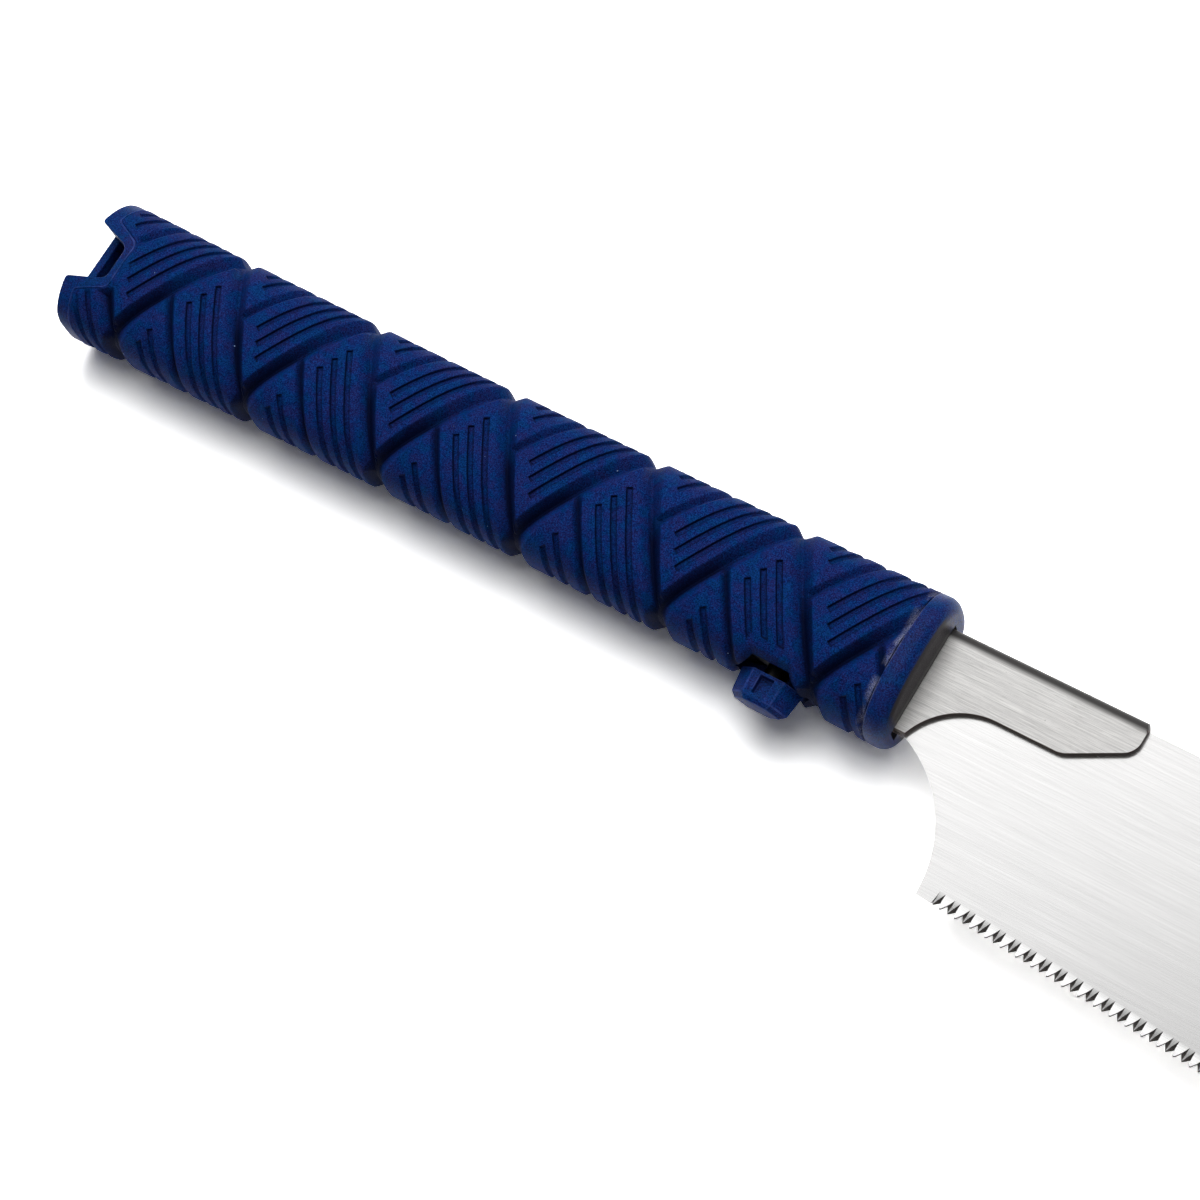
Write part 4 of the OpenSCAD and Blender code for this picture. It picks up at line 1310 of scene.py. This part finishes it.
rubber = navy_finish("navy_rubber", 0.55, grain=0.0001, bare_share=0.82, scuff_width=0.0015, shine=0.03)
smooth = {"grain": 0.00005, "bare_share": 0.93}
plastic = navy_finish("navy_plastic", 0.45, scuff_width=0.0005, **smooth)
worn_and_highlit_plastic = navy_finish("navy_worn_and_highlit_plastic", 0.45, scuff_width=0.0005, paling=0.6, **smooth)
collar_plastic = navy_finish("navy_collar_plastic", 0.4, scuff_width=0.0006, shine=0.1, painted_front_sheen=True,
                             **smooth)
print("finishes", rubber.name, plastic.name, worn_and_highlit_plastic.name, collar_plastic.name)

# %% [markdown]
# Brushed steel keeps one colour and varies in brightness line by line. The plate is bright and fine. The
# folded sheet of the tang is duller, with coarser lines, some short dark scratches and a few flecks, and
# painted shade darkens it softly round the fold. Its cut edges are painted nearly black, as shade, and so are
# the filed flanks of the teeth.

# %% Steel
FOLD_PAINTED_SHADE, SCRATCH_DARK = (0.05, 0.047, 0.046, 1), (0.3, 0.29, 0.28, 1)
LINE_SHARE, PASS_SHARE = 0.7, 0.3
BRUSH_FROM, BRUSH_TO = 0.36, 0.64
SHINE_FROM, SHINE_TO, SHINE_SPREAD = 0.3, 0.7, 0.05
SCRATCH_FINENESS, SCRATCH_STRETCH = 9000.0, 0.03
SCRATCH_FROM, SCRATCH_TO, SCRATCH_MOST = 0.6, 0.72, 0.8
FLECK_SCALE, FLECK_SIZE, FLECK_BARE, FLECK_MOST = 520.0, 0.085, 0.86, 0.55
FOLD_FROM, FOLD_TO = 3.0, 1.4
BRUSH_RELIEF = 0.000004


def folded_sheet(tree, colour):
    """The colour with scratches and flecks over it, and painted shade towards the fold."""
    scratch = group_in(tree, BRUSHING, Fineness=SCRATCH_FINENESS, Stretch=SCRATCH_STRETCH)["Line"]
    scratched = ramp(tree, scratch, SCRATCH_FROM, SCRATCH_TO, 0.0, SCRATCH_MOST)
    colour = mix_colour(tree, scratched, colour, SCRATCH_DARK)
    flecks = group_in(tree, DUST, Speck_scale=FLECK_SCALE, Speck_size=FLECK_SIZE, Bare_share=FLECK_BARE)
    colour = mix_colour(tree, maths(tree, "MULTIPLY", flecks["Speck"], FLECK_MOST), colour, SCRATCH_DARK)
    # Painted shade towards the fold.
    start, end = (in_frame((0, FOLD_Y - away, 0)).y for away in (FOLD_FROM, FOLD_TO))
    fold = ramp(tree, place_along(tree, "Y"), start, end, smooth=True)
    return mix_colour(tree, fold, colour, FOLD_PAINTED_SHADE)


def steel_finish(name, tone, spread, roughness, fineness=5200.0, stretch=0.012, metallic=1.0, folded=False):
    """Brushed steel of one tone, which its lines darken and lighten by a share, the spread."""
    finish, tree, shader = new_finish(name)
    brush = group_in(tree, BRUSHING, Fineness=fineness, Stretch=stretch)
    both = maths(tree, "ADD", maths(tree, "MULTIPLY", brush["Line"], LINE_SHARE),
                 maths(tree, "MULTIPLY", brush["Pass"], PASS_SHARE))
    dark = tuple(c * (1 - spread) for c in tone) + (1,)
    light = tuple(min(1, c * (1 + spread)) for c in tone) + (1,)
    colour = mix_colour(tree, ramp(tree, both, BRUSH_FROM, BRUSH_TO), dark, light)
    if folded:
        colour = folded_sheet(tree, colour)
    tree.links.new(colour, shader.inputs["Base Color"])
    rough = ramp(tree, both, SHINE_FROM, SHINE_TO, roughness + SHINE_SPREAD, roughness - SHINE_SPREAD)
    tree.links.new(rough, shader.inputs["Roughness"])
    shader.inputs["Metallic"].default_value = metallic
    bump(tree, shader, brush["Line"], BRUSH_RELIEF)
    return finish


blade_steel = steel_finish("blade_steel", (0.95, 0.945, 0.94), 0.04, 0.24)
tang_steel = steel_finish("tang_steel", (0.74, 0.73, 0.715), 0.27, 0.42, fineness=12000.0, stretch=0.014,
                          metallic=0.3, folded=True)
# The tang's cut edge: painted shade, nearly black.
edge_shade_steel = steel_finish("tang_edge_painted_shade", (0.075, 0.055, 0.049), 0.2, 0.5, metallic=0.3)
# The filed flanks of the teeth: painted shade, nearly black.
tooth_shade_steel = steel_finish("filed_tooth_painted_shade", (0.06, 0.054, 0.051), 0.25, 0.45, metallic=0.4)
plain_steel = steel_finish("plain_steel", (0.5, 0.5, 0.51), 0.08, 0.3)
# The clamp's screw and nut are painted nearly black, as the shade inside the knob's pocket.
dark_steel = steel_finish("dark_steel_for_pocket_shade", (0.03, 0.03, 0.031), 0.1, 0.3)
print("steels", blade_steel.name, tang_steel.name, edge_shade_steel.name, tooth_shade_steel.name)

# %% [markdown]
# The core under the grip is a plain dark moulding, which one sees only in the slot and the pocket. It shares
# the blotches of the other mouldings and needs nothing more. The same nearly black plastic paints the shade
# on the collar's slot walls.

# %% The core's plastic
CORE_DARK, CORE_LIGHT = (0.006, 0.007, 0.012, 1), (0.012, 0.013, 0.02, 1)
CORE_ROUGHNESS = 0.6


def core_finish():
    finish, tree, shader = new_finish("core_plastic")
    blotch = group_in(tree, MOTTLE)["Blotch"]
    tree.links.new(mix_colour(tree, blotch, CORE_DARK, CORE_LIGHT), shader.inputs["Base Color"])
    shader.inputs["Roughness"].default_value = CORE_ROUGHNESS
    return finish


core_plastic = core_finish()
print("finishes", [m.name for m in bpy.data.materials])

# %% [markdown]
# Each piece takes its finish, rides on the body that carries it and stands for the CAD node whose place it
# takes. Nodes that stay as they are only change their material.

# %% Dress the frame
PIECES = (
    (sleeve, rubber, "handle", "grip_sleeve", "grip_elastomer"),
    (collar, collar_plastic, "handle", "front_collar", "collar_plastic"),
    (cap, plastic, "handle", "butt_cap", "cap_plastic"),
    # The bead takes the pale finish: wear and a painted highlight.
    (bead, worn_and_highlit_plastic, "handle", None, "cap_plastic"),
    (notch_bar, plastic, "handle", None, "cap_plastic"),
    (knob, plastic, "knob", "clamp_knob", "knob_plastic"),
    (blade, blade_steel, "blade", "saw_blade", "blade_steel"),
    (tang, tang_steel, "blade", "blade_tang", "tang_steel"),
)
SECOND_FINISHES = {
    tang: edge_shade_steel, blade: tooth_shade_steel, collar: core_plastic, cap: worn_and_highlit_plastic, knob: worn_and_highlit_plastic,
}
for piece, finish, body, node, slot in PIECES:
    which = [face.material_index for face in piece.data.polygons]
    piece.data.materials.clear()
    piece.data.materials.append(finish)
    if piece in SECOND_FINISHES:
        piece.data.materials.append(SECOND_FINISHES[piece])
        piece.data.polygons.foreach_set("material_index", which)
    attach(piece, body)
    if node:
        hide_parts(node)

NODE_FINISHES = {
    "core_upper": core_plastic, "core_lower": core_plastic, "core_screws": plain_steel,
    "hook_pin": plain_steel, "clamp_nut": dark_steel, "clamp_screw": dark_steel,
    "clamp_shoe": plain_steel, "shoe_clip": plain_steel, "tang_rivets": plain_steel,
}
for node, finish in NODE_FINISHES.items():
    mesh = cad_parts[node].data
    mesh.materials.clear()
    mesh.materials.append(finish)
print("dressed", len(PIECES), "pieces and", len(NODE_FINISHES), "nodes")

# %% [markdown]
# The photograph is high-key: the saw lies on a white table that is over-exposed. So the table's colour is
# raised above white, for the camera and for reflections only, and no more light falls on the saw. Other
# rays still meet a plain white table, and it keeps the saw's shadow.

# %% The table
TABLE_SIZE, TABLE_GAP, TABLE_ROUGHNESS = 1.6, 0.0002, 0.9
TABLE_WHITE, TABLE_SHOWN = 0.9, 2.0


def make_table():
    mesh = bpy.data.meshes.new("table")
    h = TABLE_SIZE / 2
    mesh.from_pydata([(-h, -h, 0), (h, -h, 0), (h, h, 0), (-h, h, 0)], [], [(0, 1, 2, 3)])
    table = bpy.data.objects.new("table", mesh)
    table.location = (0, 0, cad_box[0][2] - TABLE_GAP)
    bpy.context.collection.objects.link(table)
    finish, tree, shader = new_finish("white_table")
    path = add(tree, "ShaderNodeLightPath")
    shown = maths(tree, "MAXIMUM", path.outputs["Is Camera Ray"], path.outputs["Is Glossy Ray"])
    tree.links.new(ramp(tree, shown, 0.0, 1.0, TABLE_WHITE, TABLE_SHOWN), shader.inputs["Base Color"])
    shader.inputs["Roughness"].default_value = TABLE_ROUGHNESS
    shader.inputs["Specular IOR Level"].default_value = 0.0
    mesh.materials.append(finish)
    return table


table = make_table()
print("table at", round(table.location.z, 5))

# %% [markdown]
# A weak window from behind the saw adds a direction to the light. It is an area lamp, so its shadow is
# soft, and it is hidden from reflections, because a square glint would give it away on the polished plate.

# %% The window
WINDOW_PLACE, WINDOW_AIM = (-220, 390, 672), (-60, -10, 0)
WINDOW_SIZE, WINDOW_POWER = 0.5, 2.4


def make_window():
    data = bpy.data.lights.new("window", "AREA")
    data.shape = "SQUARE"
    data.size = WINDOW_SIZE
    data.energy = WINDOW_POWER
    lamp = bpy.data.objects.new("window", data)
    lamp.location = in_frame(WINDOW_PLACE)
    lamp.rotation_euler = (in_frame(WINDOW_AIM) - lamp.location).to_track_quat("-Z", "Y").to_euler()
    lamp.visible_glossy = False
    bpy.context.collection.objects.link(lamp)
    return lamp


window = make_window()
print("window at", [round(v, 3) for v in window.location])

# %% [markdown]
# The rest of the light is the world: a dim dome with a broad softbox overhead, which keeps the shadow dark
# and narrow under the handle. The camera sees plain white instead. Polished steel shows its surroundings as
# they are, so for reflections the dome is a bright band overhead with soft edges, darker on both sides of
# it and near the horizon.

# %% The world
SOFTBOX_WAY = (-0.1, 0.36, 0.93)
SOFTBOX_EDGE_LOW, SOFTBOX_EDGE_HIGH = 0.82, 0.94
DOME_LEVEL, SOFTBOX_LEVEL = 0.1, 2.6
BAND_SIDE = (-0.68, 0.73, 0.0)
BAND_EDGE_LOW, BAND_EDGE_HIGH = 0.17, 0.34
BAND_END_LOW, BAND_END_HIGH = 0.5, 0.8
BAND_DARK, BAND_BRIGHT, BAND_BEYOND = 0.2, 1.14, 0.5
ROOM_DARK, ROOM_LOW, ROOM_HIGH = 0.12, 0.1, 0.45


def make_world():
    world = bpy.data.worlds.new("studio")
    bpy.context.scene.world = world
    world.use_nodes = True
    tree = world.node_tree
    way = add(tree, "ShaderNodeTexCoord").outputs["Generated"]
    split = add(tree, "ShaderNodeSeparateXYZ")
    tree.links.new(way, split.inputs[0])

    def towards(place, low, high, to_low, to_high):
        """A level that changes smoothly towards one direction of the sky."""
        near = add(tree, "ShaderNodeVectorMath", operation="DOT_PRODUCT")
        tree.links.new(way, near.inputs[0])
        near.inputs[1].default_value = place
        return ramp(tree, near.outputs["Value"], low, high, to_low, to_high, smooth=True)

    band = towards(BAND_SIDE, BAND_EDGE_LOW, BAND_EDGE_HIGH, BAND_DARK, BAND_BRIGHT)
    band = maths(tree, "MULTIPLY", band, towards(BAND_SIDE, BAND_END_LOW, BAND_END_HIGH, 1.0, BAND_BEYOND))
    band = maths(tree, "MULTIPLY", band, ramp(tree, split.outputs["Z"], ROOM_LOW, ROOM_HIGH, ROOM_DARK, 1.0))
    path = add(tree, "ShaderNodeLightPath")
    level = towards(SOFTBOX_WAY, SOFTBOX_EDGE_LOW, SOFTBOX_EDGE_HIGH, DOME_LEVEL, SOFTBOX_LEVEL)
    for seen, value in (("Is Glossy Ray", band), ("Is Camera Ray", 1.0)):
        mix = add(tree, "ShaderNodeMix", data_type="FLOAT")
        sockets = mix.inputs["Factor"], mix.inputs[2], mix.inputs[3]
        for socket, source in zip(sockets, (path.outputs[seen], level, value)):
            feed(tree, socket, source)
        level = mix.outputs[0]
    background = tree.nodes["Background"]
    tree.links.new(level, background.inputs["Strength"])
    background.inputs["Color"].default_value = (1, 1, 1, 1)
    return world


print("world", make_world().name)
